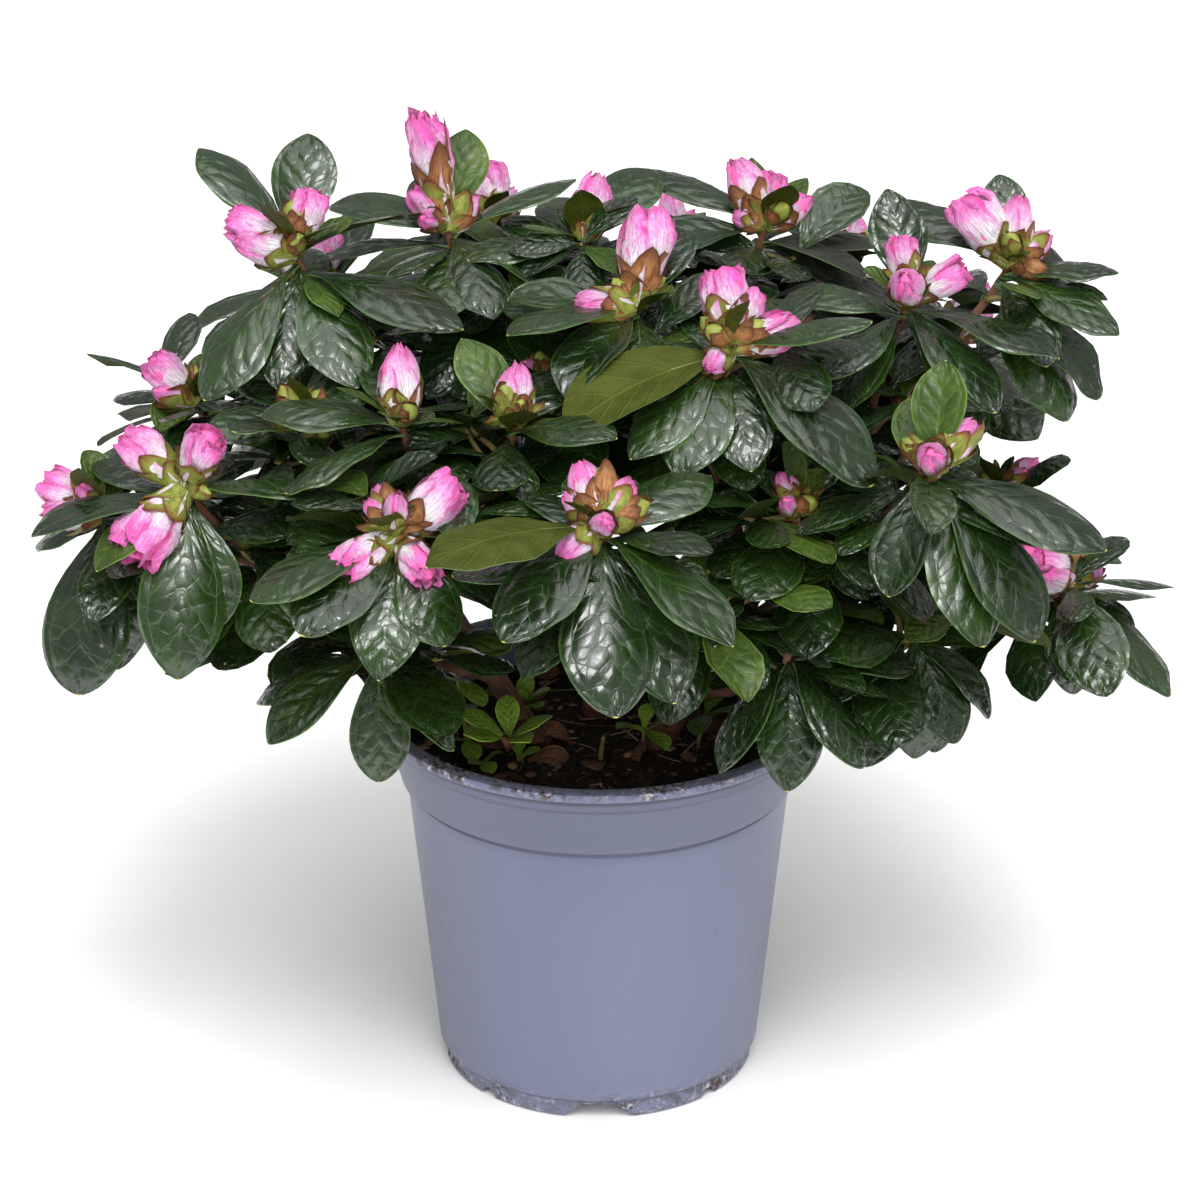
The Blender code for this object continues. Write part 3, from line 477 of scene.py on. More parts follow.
# creases and ledges of the pot that get a line of painted shade: middle, half width (both in metres), strength
POT_SHADE_LINES = ((0.1036, 0.0012, 1.0), (0.1254, 0.0012, 1.0), (0.1218, 0.0011, 0.5), (0.0066, 0.0008, 0.5))


def shade_band_at(made, height, middle, half):
    """A soft-edged band round the pot, for the painted shade in a crease."""
    return made.step(made.maths("ABSOLUTE", made.maths("SUBTRACT", height, middle)), half, 0.2 * half)


def pot_finish():
    """Satin moulded plastic with a faint flow in it, scuffed and dulled by peat at rim and foot, with painted
    shade in its creases, under its shoulder and over its collar, and a painted highlight on its rim.
    """
    made = Finish("satin_pot_plastic", POT_COLOUR, 0.38, Specular_IOR_Level=0.5)
    where = made.on_object()
    height = made.split(where)[2]
    flow = made.step(made.cloud(made.on_object((1.0, 1.0, 0.25)), 26.0, 3.0, 0.55), 0.3, 0.7)
    grime = made.cloud(where, 300.0, 9.0, 0.75)
    patches = made.step(made.cloud(where, 42.0, 4.0, 0.6), 0.44, 0.60)
    edge = made.most(made.step(height, 0.1256, 0.1296), made.step(height, 0.012, 0.003))
    edge = made.times(edge, made.scaled(patches, 0.7, 0.3))
    dirt = made.times(made.step(made.cloud(where, 470.0, 4.0, 0.7), 0.49, 0.55), edge)
    scuff = made.times(made.step(made.cloud(where, 360.0, 4.0, 0.7), 0.56, 0.62), edge)
    specks = made.step(made.cells(where, 330.0, "F1"), 0.20, 0.11)
    rare = made.step(made.cloud(where, 60.0, 2.0), 0.62, 0.70)
    dot = made.times(made.times(specks, rare), 0.5)
    # painted shade: a soft darker band just under the shoulder ledge, then a line of painted shade at each
    # crease and ledge
    painted_shade_under_ledge = made.times(made.step(height, 0.098, 0.103), made.step(height, 0.1046, 0.1034))
    creases = made.times(painted_shade_under_ledge, 0.32)
    for middle, half, strength in POT_SHADE_LINES:
        creases = made.most(creases, made.times(shade_band_at(made, height, middle, half), strength))
    film = made.times(made.step(grime, 0.5, 0.7), made.times(edge, 0.35))
    colour = POT_COLOUR
    for share, laid in (
            (flow, shaded(POT_COLOUR, 1.09)),
            # painted shadow of the foliage: the pot above its shoulder made darker by half
            (made.times(made.step(height, 0.100, 0.108), 0.5), shaded(POT_COLOUR, 0.62)),
            # painted highlight: the rim's outer face and top made lighter, as where more light falls
            (made.step(height, 0.1266, 0.1276), shaded(POT_COLOUR, 1.3)),
            # painted shade lines in the creases and under the ledges, as a darker pot colour
            (made.times(creases, 0.72), shaded(POT_COLOUR, 0.28)),
            (film, (0.110, 0.090, 0.080)),
            (scuff, (0.500, 0.480, 0.480)),
            (made.most(dirt, dot), (0.055, 0.030, 0.018))):
        colour = made.mix(share, colour, laid)
    made.paint(colour)
    made.polish(made.most(made.step(grime, 0.3, 0.8, 0.32, 0.46), made.times(dirt, 0.8)))
    made.emboss((made.cloud(where, 900.0, 2.0), 0.035),
                (made.cloud(made.on_object((1.0, 1.0, 0.12)), 40.0, 2.0), 0.12), (dirt, 0.25))
    return made.material


# ---- building helpers ------------------------------------------------------------
def piece(name, bm, finishes, nodes=(), sharp=None):
    """Makes an object of a mesh in world place, rides it on the plant and hides the solids it stands in for."""
    mesh = mesh_from(bm, name)
    for finish in finishes:
        mesh.materials.append(finish)
    mesh.shade_smooth()
    if sharp:
        mesh.set_sharp_from_angle(angle=math.radians(sharp))
    made = bpy.data.objects.new(name, mesh)
    bpy.context.scene.collection.objects.link(made)
    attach(made, "root")
    if nodes:
        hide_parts(*nodes)
    return made


def shown_mesh(node):
    """A welded copy of a solid's mesh."""
    bm = bmesh.new()
    bm.from_mesh(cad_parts[node].data)
    bmesh.ops.remove_doubles(bm, verts=bm.verts[:], dist=0.000001)
    return bm


LOWEST = [corner / MM for corner in packed_box[0]]
HIGHEST = [corner / MM for corner in packed_box[1]]


def kept_inside(point):
    """The nearest point within the box of the solids."""
    return Vector(max(low, min(high, part)) for low, part, high in zip(LOWEST, point, HIGHEST))


def add_copy(bm, template, place):
    """Adds a copy of a template mesh whose points go where `place` says; returns its faces."""
    first_vert, first_face = len(bm.verts), len(bm.faces)
    bm.from_mesh(template)
    bm.verts.ensure_lookup_table()
    bm.faces.ensure_lookup_table()
    for vert in bm.verts[first_vert:]:
        vert.co = kept_inside(place(vert.co.x, vert.co.y, vert.co.z)) * MM
    return bm.faces[first_face:]


def mesh_from(bm, name):
    mesh = bpy.data.meshes.new(name)
    bm.to_mesh(mesh)
    bm.free()
    return mesh


def draw_to_edge(bm):
    """Closes a slab along its sides and ends, so that it is drawn to a sharp edge."""
    for vert in bm.verts:
        if abs(vert.co.y) > 0.999 or vert.co.x < 0.001 or vert.co.x > 0.999:
            vert.co.z = 0
    bmesh.ops.remove_doubles(bm, verts=bm.verts[:], dist=0.0001)


def slab(rows, columns):
    """A closed flat slab with its map: x runs along the rows, y across, z is 0 or -1."""
    bm = bmesh.new()
    bmesh.ops.create_grid(bm, x_segments=len(rows) - 1, y_segments=len(columns) - 1, size=1.0)
    for vert in bm.verts:
        vert.co.x = rows[round((vert.co.x + 1) / 2 * (len(rows) - 1))]
        vert.co.y = columns[round((vert.co.y + 1) / 2 * (len(columns) - 1))]
    shell = bmesh.ops.extrude_face_region(bm, geom=bm.faces[:])
    for item in shell["geom"]:
        if isinstance(item, bmesh.types.BMVert):
            item.co.z -= 1.0
    bmesh.ops.recalc_face_normals(bm, faces=bm.faces[:])
    layer = bm.loops.layers.uv.new("blade")
    for face in bm.faces:
        for loop in face.loops:
            loop[layer].uv = (loop.vert.co.x, (loop.vert.co.y + 1) / 2)
    return bm


def toward(bearing, rise):
    """The direction with a bearing and a rise, both in radians."""
    return Vector((math.cos(bearing) * math.cos(rise), math.sin(bearing) * math.cos(rise), math.sin(rise)))


def smooth_noise(point, scale, seed=0.0):
    return noise.noise(point * scale + Vector((seed, 1.7 * seed, -seed)))


# ---- pot -------------------------------------------------------------------------
def pot_outline():
    """From the middle of the floor, up the inside, over the rim and down the outside."""
    rim, collar, ledge, wall = RIM_RADIUS, COLLAR_RADIUS, SHOULDER_TOP_RADIUS, SHOULDER_RADIUS
    inside, ring_inside = RIM_RADIUS - RIM_WIDTH, FOOT_RADIUS - FOOT_RING_WIDTH
    top, fold, bend, shoulder = POT_HEIGHT, POT_HEIGHT - RIM_FACE, COLLAR_BOTTOM, SHOULDER_HEIGHT
    return [
        (0, 8.4), (WALL_FOOT_RADIUS - WALL_THICKNESS, 8.4), (wall - WALL_THICKNESS, shoulder - 2),
        (ledge - WALL_THICKNESS, shoulder + 1), (inside, bend), (inside, top - 0.9), (inside + 0.3, top - 0.25),
        (inside + 0.9, top), (rim - 1.2, top), (rim - 0.35, top - 0.35), (rim, top - 1.1), (rim, top - 2.4),
        (rim - 0.4, fold - 0.1), (collar + 0.2, fold - 0.3), (collar - 0.05, fold - 0.9),
        (collar - 0.25, bend + 0.4), (collar - 0.6, bend - 0.1), (collar - 1.3, bend - 0.5),
        (ledge + 0.1, shoulder + 1.6), (ledge, shoulder + 0.9), (ledge - 0.5, shoulder + 0.3),
        (wall + 0.4, shoulder + 0.1), (wall - 0.5, shoulder - 0.3), (wall - 0.5, shoulder - 1.2),
        (wall - 0.1, shoulder - 2.0), (WALL_FOOT_RADIUS + 0.25, FOOT_HEIGHT + 0.8),
        (WALL_FOOT_RADIUS - 0.5, FOOT_HEIGHT + 0.1), (FOOT_RADIUS + 0.1, FOOT_HEIGHT - 0.5),
        (FOOT_RADIUS, FOOT_HEIGHT - 1.1), (FOOT_RADIUS, 1.5), (FOOT_RADIUS - 0.4, 0.5), (FOOT_RADIUS - 1.4, 0),
        (ring_inside + 0.5, 0), (ring_inside, 0.5), (ring_inside, FOOT_HEIGHT), (0, FOOT_HEIGHT)]


def turned(outline, steps):
    """A solid turned from an outline whose ends lie on the Z axis."""
    bm = bmesh.new()
    ring = [bm.verts.new((radius * MM, 0, height * MM)) for radius, height in outline]
    edges = [bm.edges.new(pair) for pair in zip(ring, ring[1:])]
    bmesh.ops.spin(bm, geom=ring + edges, cent=(0, 0, 0), axis=(0, 0, 1), angle=2 * math.pi, steps=steps,
                   use_merge=True)
    bmesh.ops.remove_doubles(bm, verts=bm.verts[:], dist=0.00002)
    bmesh.ops.recalc_face_normals(bm, faces=bm.faces[:])
    return bm


def foot_notches():
    """Wedges that cut a wide notch on each quarter of the foot ring and a small arch between."""
    bm = bmesh.new()
    middle = FOOT_RADIUS - FOOT_RING_WIDTH / 2
    for quarter in range(4):
        for top, foot, height, bearing in ((10.8, 27.0, 5.4, 90 * quarter), (3.0, 6.0, 3.4, 90 * quarter + 45)):
            made = bmesh.ops.create_cube(bm, size=1.0)["verts"]
            for vert in made:
                above = vert.co.z > 0
                vert.co.x = (middle + vert.co.x * (FOOT_RING_WIDTH + 8)) * MM
                vert.co.y *= (top if above else foot + 4) * MM
                vert.co.z = (height if above else -2.0) * MM
            turn = Matrix.Rotation(math.radians(bearing), 3, "Z")
            bmesh.ops.rotate(bm, verts=made, cent=(0, 0, 0), matrix=turn)
    return mesh_from(bm, "foot_notches")


def make_pot(finish):
    pot = piece("pot_shell", turned(pot_outline(), 144), [finish], ["pot"])
    tool = bpy.data.objects.new("foot_notches", foot_notches())
    bpy.context.scene.collection.objects.link(tool)
    cut = pot.modifiers.new("notches", "BOOLEAN")
    cut.operation, cut.object, cut.solver = "DIFFERENCE", tool, "EXACT"
    shape = pot.evaluated_get(bpy.context.evaluated_depsgraph_get())
    mesh = bpy.data.meshes.new_from_object(shape)
    pot.modifiers.clear()
    pot.data = mesh
    mesh.shade_smooth()
    mesh.set_sharp_from_angle(angle=math.radians(26))
    bpy.data.objects.remove(tool, do_unlink=True)


# ---- peat ------------------------------------------------------------------------
PEAT_DEPTH = 9.0
PEAT_FOOT_SHARE = 0.93


def peat_level(x, y):
    """Height of the peat's surface, which is lumpy and dips towards the wall."""
    point = Vector((x, y, 0))
    out = math.hypot(x, y) / SOIL_RADIUS
    lumps = 1.5 * smooth_noise(point, 0.05) + smooth_noise(point, 0.16, 3) + 0.6 * smooth_noise(point, 0.4, 7)
    return SOIL_LEVEL - 1.0 - 3.0 * out**4 + lumps


def make_peat(finish):
    """A round lens whose points are spread evenly, with a lumpy top."""
    bm = bmesh.new()
    bmesh.ops.create_icosphere(bm, subdivisions=6, radius=1.0)
    for vert in bm.verts:
        bearing = math.atan2(vert.co.y, vert.co.x)
        out = SOIL_RADIUS * math.sqrt(1 - min(1.0, abs(vert.co.z)))
        out *= 1.0 if vert.co.z >= 0 else PEAT_FOOT_SHARE
        x, y = out * math.cos(bearing), out * math.sin(bearing)
        z = peat_level(x, y) if vert.co.z >= 0 else SOIL_LEVEL - PEAT_DEPTH
        vert.co = Vector((x, y, z)) * MM
    piece("peat", bm, [finish], ["soil"])


def scatter(bm, count, dice, sizes, slots, inner, outer, level):
    """Small broken lumps, each in a colour of its own."""
    for _ in range(count):
        bearing = dice.uniform(0, 2 * math.pi)
        out = math.sqrt(dice.uniform(inner**2, outer**2))
        x, y = out * math.cos(bearing), out * math.sin(bearing)
        size = dice.uniform(*sizes)
        shape = Matrix.Diagonal((size, size * dice.uniform(0.4, 0.9), size * dice.uniform(0.25, 0.7)))
        turn = Matrix.Rotation(dice.uniform(0, 6.3), 3, "Z") @ Matrix.Rotation(dice.uniform(-0.6, 0.6), 3, "X")
        faces_before = len(bm.faces)
        made = bmesh.ops.create_icosphere(bm, subdivisions=1, radius=0.5)["verts"]
        home = Vector((x, y, level(x, y)))
        for vert in made:
            rough = 1 + 0.5 * smooth_noise(vert.co, 3.0, size + out)
            vert.co = (home + turn @ shape @ (vert.co * rough)) * MM
        bm.faces.ensure_lookup_table()
        slot = dice.choice(slots)
        for face in bm.faces[faces_before:]:
            face.material_index = slot


def make_litter(finishes):
    """Chips, crumbs and fibres on the peat, and crumbs on the rim."""
    dice = random.Random(71)
    bm = bmesh.new()
    scatter(bm, 620, dice, (1.0, 3.4), (0, 0, 0, 1, 1, 2), 4, SOIL_RADIUS - 2, peat_level)
    scatter(bm, 90, dice, (2.5, 6.5), (0, 1, 1, 2, 3), 8, SOIL_RADIUS - 4, peat_level)
    scatter(bm, 46, dice, (0.4, 1.5), (0, 0, 1), RIM_RADIUS - 5.0, RIM_RADIUS - 0.8,
            lambda x, y: POT_HEIGHT + 0.1)
    for _ in range(110):
        bearing, out = dice.uniform(0, 360), dice.uniform(6, SOIL_RADIUS - 6)
        x, y = out * math.cos(bearing), out * math.sin(bearing)
        way = Matrix.Rotation(dice.uniform(0, 6.3), 3, "Z") @ Vector((dice.uniform(4, 13), 0, 0))
        start = Vector((x, y, peat_level(x, y) + 0.3))
        bend = Vector((-way.y, way.x, dice.uniform(0.0, 5.0))) * dice.uniform(-0.4, 0.4)
        end = start + way
        end.z = peat_level(end.x, end.y) + dice.uniform(0, 2.5)
        if math.hypot(end.x, end.y) > SOIL_RADIUS - 2:
            continue
        limb = Limb(start, way + bend, end, way - bend, dice.uniform(0.18, 0.5), 0.12)
        slot = dice.choice((0, 1, 2, 3))
        for face in add_copy(bm, upright_bar(5, 8), bark_place(limb, len(bm.verts), 0.1)):
            face.material_index = slot
    piece("peat_litter", bm, finishes)


# ---- limbs -----------------------------------------------------------------------
class Limb:
    """A tapering limb along a smooth curve between two points with given headings."""

    def __init__(self, start, heading, end, arrival, root_radius, tip_radius, flare=0.0):
        self.start = Vector(start)
        self.end = Vector(end)
        self.span = (self.end - self.start).length
        self.heading = Vector(heading).normalized() * self.span
        self.arrival = Vector(arrival).normalized() * self.span
        self.root_radius = root_radius
        self.tip_radius = tip_radius
        self.flare = flare

    def at(self, s):
        return ((2 * s**3 - 3 * s**2 + 1) * self.start + (s**3 - 2 * s**2 + s) * self.heading
                + (3 * s**2 - 2 * s**3) * self.end + (s**3 - s**2) * self.arrival)

    def along(self, s):
        way = ((6 * s**2 - 6 * s) * self.start + (3 * s**2 - 4 * s + 1) * self.heading
               + (6 * s - 6 * s**2) * self.end + (3 * s**2 - 2 * s) * self.arrival)
        return way.normalized()

    def radius(self, s):
        taper = self.root_radius + (self.tip_radius - self.root_radius) * s
        return taper * (1 + self.flare * math.exp(-s * self.span / FLARE_REACH))

    def core(self, s):
        """The point at s on the straight runs between the rings."""
        rings = self.stations()
        index = max(k for k, ring in enumerate(rings[:-1]) if ring <= s)
        share = (s - rings[index]) / (rings[index + 1] - rings[index])
        return self.at(rings[index]).lerp(self.at(rings[index + 1]), share)

    def stations(self):
        count = max(2, round(self.span / RING_SPACING))
        rings = [index / count for index in range(count + 1)]
        if self.flare:
            rings[1:1] = [0.25 * FLARE_REACH / self.span, FLARE_REACH / self.span]
        return tuple(rings)


UNIT_BARS = {}


def unit_bar(sides, stations):
    """A closed upright bar of radius 1 and height 1, with a ring at each station."""
    key = (sides, stations)
    if key not in UNIT_BARS:
        bm = bmesh.new()
        bmesh.ops.create_cone(bm, cap_ends=True, segments=sides, radius1=1, radius2=1, depth=1,
                              matrix=Matrix.Translation((0, 0, 0.5)))
        for height in stations[1:-1]:
            geometry = bm.verts[:] + bm.edges[:] + bm.faces[:]
            bmesh.ops.bisect_plane(bm, geom=geometry, plane_co=(0, 0, height), plane_no=(0, 0, 1))
        UNIT_BARS[key] = mesh_from(bm, "unit_bar")
    return UNIT_BARS[key]


def bent_bar(sides, stations, place):
    """A copy of the unit bar whose points go where `place` says, welded at a shut end."""
    bm = bmesh.new()
    bm.from_mesh(unit_bar(sides, stations))
    for vert in bm.verts:
        vert.co = place(vert.co.z, vert.co.x, vert.co.y) * MM
    bmesh.ops.remove_doubles(bm, verts=bm.verts[:], dist=0.000001)
    bmesh.ops.triangulate(bm, faces=bm.faces[:])
    bmesh.ops.recalc_face_normals(bm, faces=bm.faces[:])
    return bm


def limb_place(limb):
    def place(s, a, b):
        turn = limb.along(s).to_track_quat("Z", "X")
        reach = limb.radius(s)
        return limb.at(s) + turn @ Vector((a * reach, b * reach, 0))
    return place


class Stem(Limb):
    """A stem whose rings lie level at its foot and turn square to it higher up."""

    def along(self, s):
        level = max(0.0, 1 - s * self.span / (2 * FLARE_REACH))
        return super().along(s).lerp(Vector((0, 0, 1)), level).normalized()


def stem_limb(name):
    return Stem(*STEMS[name], FLARE)


def bough_limb(name):
    """The bough bows under the line from its stem to the middle of its shoots."""
    stem_name, height, share, shoots = MASSES[name]
    stem = stem_limb(stem_name)
    middle = sum((shoot.tip for shoot in shoots), Vector()) / len(shoots)
    side = (middle - stem.at(height)).cross(stem.along(height)).cross(stem.along(height))
    start = stem.at(height) - BOUGH_OFFSET * side.normalized()
    reach = middle - start
    entry = start + share * reach - Vector((0, 0, BOUGH_SAG * reach.length))
    heading = reach.normalized() - Vector((0, 0, 2 * BOUGH_SAG)) + 0.2 * stem.along(height)
    arrival = (middle - entry).normalized()
    return Limb(start, heading, entry, arrival, BOUGH_ROOT_RADIUS, BOUGH_TIP_RADIUS)


# ---- leaves ----------------------------------------------------------------------
class Leaf:
    """A leaf whose midrib is a bow in the upright plane of its bearing."""

    def __init__(self, root, bearing, rise, length, roll=0.0, bow=LEAF_BOW):
        self.root = root
        self.bearing = math.radians(bearing)
        self.rise = math.radians(rise)
        self.length = length
        self.roll = math.radians(roll)
        self.bow = math.radians(bow)
        self.out = Vector((math.cos(self.bearing), math.sin(self.bearing), 0))

    def slope(self, s):
        return self.rise + self.bow * (0.5 - s)

    def midrib(self, s):
        first = self.slope(0)
        here = self.slope(s)
        level = (math.sin(first) - math.sin(here)) / self.bow
        height = (math.cos(here) - math.cos(first)) / self.bow
        return self.root + self.length * (self.out * level + Vector((0, 0, height)))

    def half_width(self, s):
        share = max(0.0, (s - PETIOLE) / (1 - PETIOLE))
        blade = LEAF_WIDTH * self.length * max(0.0, math.sin(math.pi * share**1.2)) ** 0.75
        return max(blade, PETIOLE_HALF_WIDTH)

    def across(self, s):
        """The directions across the blade and up from its face."""
        slope = self.slope(s)
        side = Vector((-math.sin(self.bearing), math.cos(self.bearing), 0))
        face = Vector((0, 0, math.cos(slope))) - self.out * math.sin(slope)
        cos_roll, sin_roll = math.cos(self.roll), math.sin(self.roll)
        return side * cos_roll + face * sin_roll, face * cos_roll - side * sin_roll

    def place(self, grown=0.0):
        """Where a three-sided bar goes: two margins above and a keel below."""
        thickness = max(LEAF_THICKNESS * self.length, 0.4)

        def put(s, a, b):
            side, face = self.across(s)
            at_end = s < 0.001 or s > 0.999
            width = 0.0 if at_end else self.half_width(s)
            keel = 0.0 if at_end else thickness
            height = -keel - grown if b > 0.5 else grown
            return self.midrib(s) + side * (a / BAR_CORNER) * (width + grown) + face * height
        return put

    def stations(self):
        return LEAF_STATIONS if self.length >= BROAD_LEAF else SMALL_LEAF_STATIONS

    def body(self, grown=0.0):
        return bent_bar(3, self.stations(), self.place(grown))


class Bud:
    """A pointed bud that swells past its middle."""

    def __init__(self, root, bearing, rise, length):
        self.root = root
        self.way = toward(math.radians(bearing), math.radians(rise))
        self.length = length

    def radius(self, s):
        return BUD_WIDTH * self.length * math.sin(math.pi * s**1.15) ** 0.8 if s < 0.999 else 0.0

    def body(self, grown=0.0):
        turn = self.way.to_track_quat("Z", "X")

        def put(s, a, b):
            reach = self.radius(s) + grown
            return self.root + self.way * (s * self.length) + turn @ Vector((a * reach, b * reach, 0))
        return bent_bar(BUD_SIDES, BUD_STATIONS, put)


# ---- room for each leaf ----------------------------------------------------------
class Room:
    """What is already placed, so that nothing new touches it."""

    def __init__(self):
        self.taken = []

    def add(self, owner, whole, outer):
        centre, reach = ball(whole)
        self.taken.append((owner, centre, reach, BVHTree.FromBMesh(whole), outer))

    def is_free(self, owner, grown, outer):
        centre, reach = ball(grown)
        tree = BVHTree.FromBMesh(grown)
        for other, at, size, whole, blade in self.taken:
            if (at - centre).length > reach + size:
                continue
            if other != owner and tree.overlap(whole):
                return False
            if other == owner and outer and blade and outer.overlap(blade):
                return False
        return True


def ball(bm):
    centre = sum((vert.co for vert in bm.verts), Vector()) / len(bm.verts)
    return centre, max((vert.co - centre).length for vert in bm.verts)


def tree_beyond(bm, origin, distance):
    """The part of a leaf or twig away from its root, for the test against its own mass."""
    bm.verts.index_update()
    kept = [[vert.index for vert in face.verts] for face in bm.faces
            if min((vert.co / MM - origin).length for vert in face.verts) > distance]
    return BVHTree.FromPolygons([vert.co.copy() for vert in bm.verts], kept) if kept else None


def settle_leaf(room, owner, root, bearing, rise, length, roll, nudges=NUDGES):
    """The leaf turned aside until it is free, or None."""
    for swing, lift, share in nudges:
        leaf = Leaf(root, bearing + swing, rise + lift, length * share, roll)
        grown, body = leaf.body(LEAF_CLEARANCE), leaf.body()
        blade = tree_beyond(body, leaf.root, BLADE_START * leaf.length * 0.9)
        is_free = room.is_free(owner, grown, blade)
        if is_free:
            room.add(owner, body, blade)
        grown.free()
        body.free()
        if is_free:
            return leaf
    return None


# ---- masses ----------------------------------------------------------------------
def twigs_of(name, bough, rng):
    """The mass's own stem, which runs to the first shoot, and a twig to each other."""
    shoots = MASSES[name][3]
    way = bough.along(1.0)
    start = bough.end + way * GAP
    twigs = []
    for index, shoot in enumerate(shoots):
        lean = Vector((shoot.tip.x, shoot.tip.y, 0)) * 0.004 + Vector((0, 0, 1))
        if index == 0:
            twigs.append(Limb(start, way, shoot.tip, lean, BOUGH_TIP_RADIUS, TWIG_TIP_RADIUS))
            continue
        share = rng.uniform(0.12, 0.3)
        fork = twigs[0].core(share)
        heading = (shoot.tip - fork).normalized() + 0.4 * twigs[0].along(share)
        twigs.append(Limb(fork, heading, shoot.tip, lean, TWIG_ROOT_RADIUS - 0.2, TWIG_TIP_RADIUS))
    return twigs


def leaf_plan(shoot, rng):
    """(distance below the tip, bearing, rise, length, roll) of every leaf of a shoot."""
    plan = []
    out = math.degrees(math.atan2(shoot.tip.y, shoot.tip.x))
    turn = rng.uniform(0, 360)
    for index, (bearing, rise, length) in enumerate(shoot.leaves):
        plan.append((2.5 + LEAF_SPACING * index, bearing, rise, length, rng.uniform(-12, 12)))
    for index in range(shoot.whorl):
        bearing = turn + GOLDEN_ANGLE * index
        facing = math.cos(math.radians(bearing - out))
        rise = 10 - 34 * max(0.0, facing) + rng.uniform(-10, 8) - 2.0 * index
        length = shoot.size * rng.uniform(0.86, 1.14)
        plan.append((3.0 + LEAF_SPACING * index, bearing, rise, length, rng.uniform(-16, 16)))
    for index in range(shoot.lower):
        bearing = turn + 60 + GOLDEN_ANGLE * index
        rise = -14 + rng.uniform(-14, 8)
        length = shoot.size * rng.uniform(0.8, 1.05)
        plan.append((14 + 10 * index, bearing, rise, length, rng.uniform(-16, 16)))
    return plan


def root_on(twig, below):
    """The place on a twig that lies so far below its tip."""
    return twig.core(max(0.15, 1 - below / twig.span))


# ---- wood ------------------------------------------------------------------------
def upright_bar(sides, rings):
    """A closed upright bar with evenly spaced rings and a map that wraps round it."""
    key = ("upright", sides, rings)
    if key not in UNIT_BARS:
        mesh = unit_bar(sides, tuple(index / rings for index in range(rings + 1))).copy()
        bm = bmesh.new()
        bm.from_mesh(mesh)
        layer = bm.loops.layers.uv.new("bark")
        for face in bm.faces:
            turns = [math.atan2(loop.vert.co.y, loop.vert.co.x) / (2 * math.pi) for loop in face.loops]
            base = turns[0]
            for loop, turn in zip(face.loops, turns):
                turn += 1 if turn < base - 0.5 else -1 if turn > base + 0.5 else 0
                loop[layer].uv = (turn, loop.vert.co.z)
        bm.to_mesh(mesh)
        bm.free()
        UNIT_BARS[key] = mesh
    return UNIT_BARS[key]


def bark_place(limb, seed, depth, swell=0.0):
    """Where a bar goes to become a limb with ridges, knots and a swollen root."""
    def place(x, y, z):
        way = limb.along(z)
        turn = way.to_track_quat("Z", "X")
        reach = limb.radius(z) * (1 + swell * math.exp(-z * limb.span / 5))
        bearing = math.atan2(y, x)
        run = z * limb.span
        ridge = smooth_noise(Vector((math.cos(bearing) * 1.6, math.sin(bearing) * 1.6, run * 0.09)), 1.0, seed)
        lump = smooth_noise(Vector((math.cos(bearing), math.sin(bearing), run * 0.14)), 0.6, seed + 5)
        knot = max(0.0, math.sin(run * 0.33 + seed) - 0.82)
        reach *= 1 + depth * ridge + 0.16 * lump + 0.7 * knot
        sway = Vector((smooth_noise(Vector((run * 0.05, seed, 0)), 1),
                       smooth_noise(Vector((seed, run * 0.05, 4)), 1), 0))
        rim = Vector((math.cos(bearing) * reach, math.sin(bearing) * reach, 0))
        return limb.at(z) + turn @ rim + 0.5 * sway
    return place


def add_limb(bm, limb, sides, spacing, seed, depth, slot=0, swell=0.0):
    rings = max(4, round(limb.span / spacing))
    for face in add_copy(bm, upright_bar(sides, rings), bark_place(limb, seed, depth, swell)):
        face.material_index = slot


# ---- dressed leaves --------------------------------------------------------------
FINE_ROWS = (0, 0.05, 0.10, 0.17, 0.25, 0.33, 0.41, 0.49, 0.57, 0.65, 0.73, 0.80, 0.86, 0.92, 0.965, 0.992, 1.0)
FINE_COLUMNS = (-1, -0.90, -0.5, -0.035, 0.035, 0.5, 0.90, 1)
PLAIN_ROWS = (0, 0.09, 0.22, 0.38, 0.55, 0.72, 0.87, 0.97, 1.0)
PALE_RIB_END = 0.33
PLAIN_COLUMNS = (-1, -0.55, 0, 0.55, 1)
TOP, UNDER, RIB, RIB_UNDER, MARGIN, POINT = range(6)


def leaf_template(rows, columns, lens):
    """A flat leaf with its regions marked; a lens is drawn to a sharp edge all round."""
    bm = slab(rows, columns)
    rib = min(abs(column) for column in columns)
    for face in bm.faces:
        middle = face.calc_center_median()
        is_top, is_side = middle.z > -0.01, -0.99 < middle.z < -0.01
        if middle.x > rows[-2] and not lens:
            face.material_index = POINT
        elif is_side:
            face.material_index = MARGIN
        elif abs(middle.y) < rib and (middle.x < PALE_RIB_END or not is_top):
            face.material_index = RIB if is_top else RIB_UNDER
        else:
            face.material_index = TOP if is_top else UNDER
    if lens:
        draw_to_edge(bm)
        for face in bm.faces:
            face.material_index = UNDER if face.material_index == MARGIN else face.material_index
    return mesh_from(bm, "leaf_template")


class Habit:
    """How one leaf bends away from a flat blade."""

    def __init__(self, dice, size):
        self.dome = dice.uniform(0.08, 0.34)
        self.fold = dice.choice((-0.10, 0.0, 0.0, 0.12, 0.30)) if size > 24 else dice.uniform(0.1, 0.5)
        self.wave = dice.uniform(0.2, 0.9) * size / 50
        self.turns = dice.uniform(1.2, 2.6)
        self.phase = dice.uniform(0, 6.3)
        self.curl = dice.uniform(-0.6, 2.2) * size / 50
        self.quilt = dice.uniform(0.05, 0.15) * size / 50
        self.broad = dice.uniform(0.88, 1.10) if size > 40 else dice.uniform(0.98, 1.16)
        self.swell = dice.uniform(1.2, 1.5)
        self.blunt = dice.uniform(0.58, 0.82)
        self.lean = dice.uniform(-0.05, 0.05)


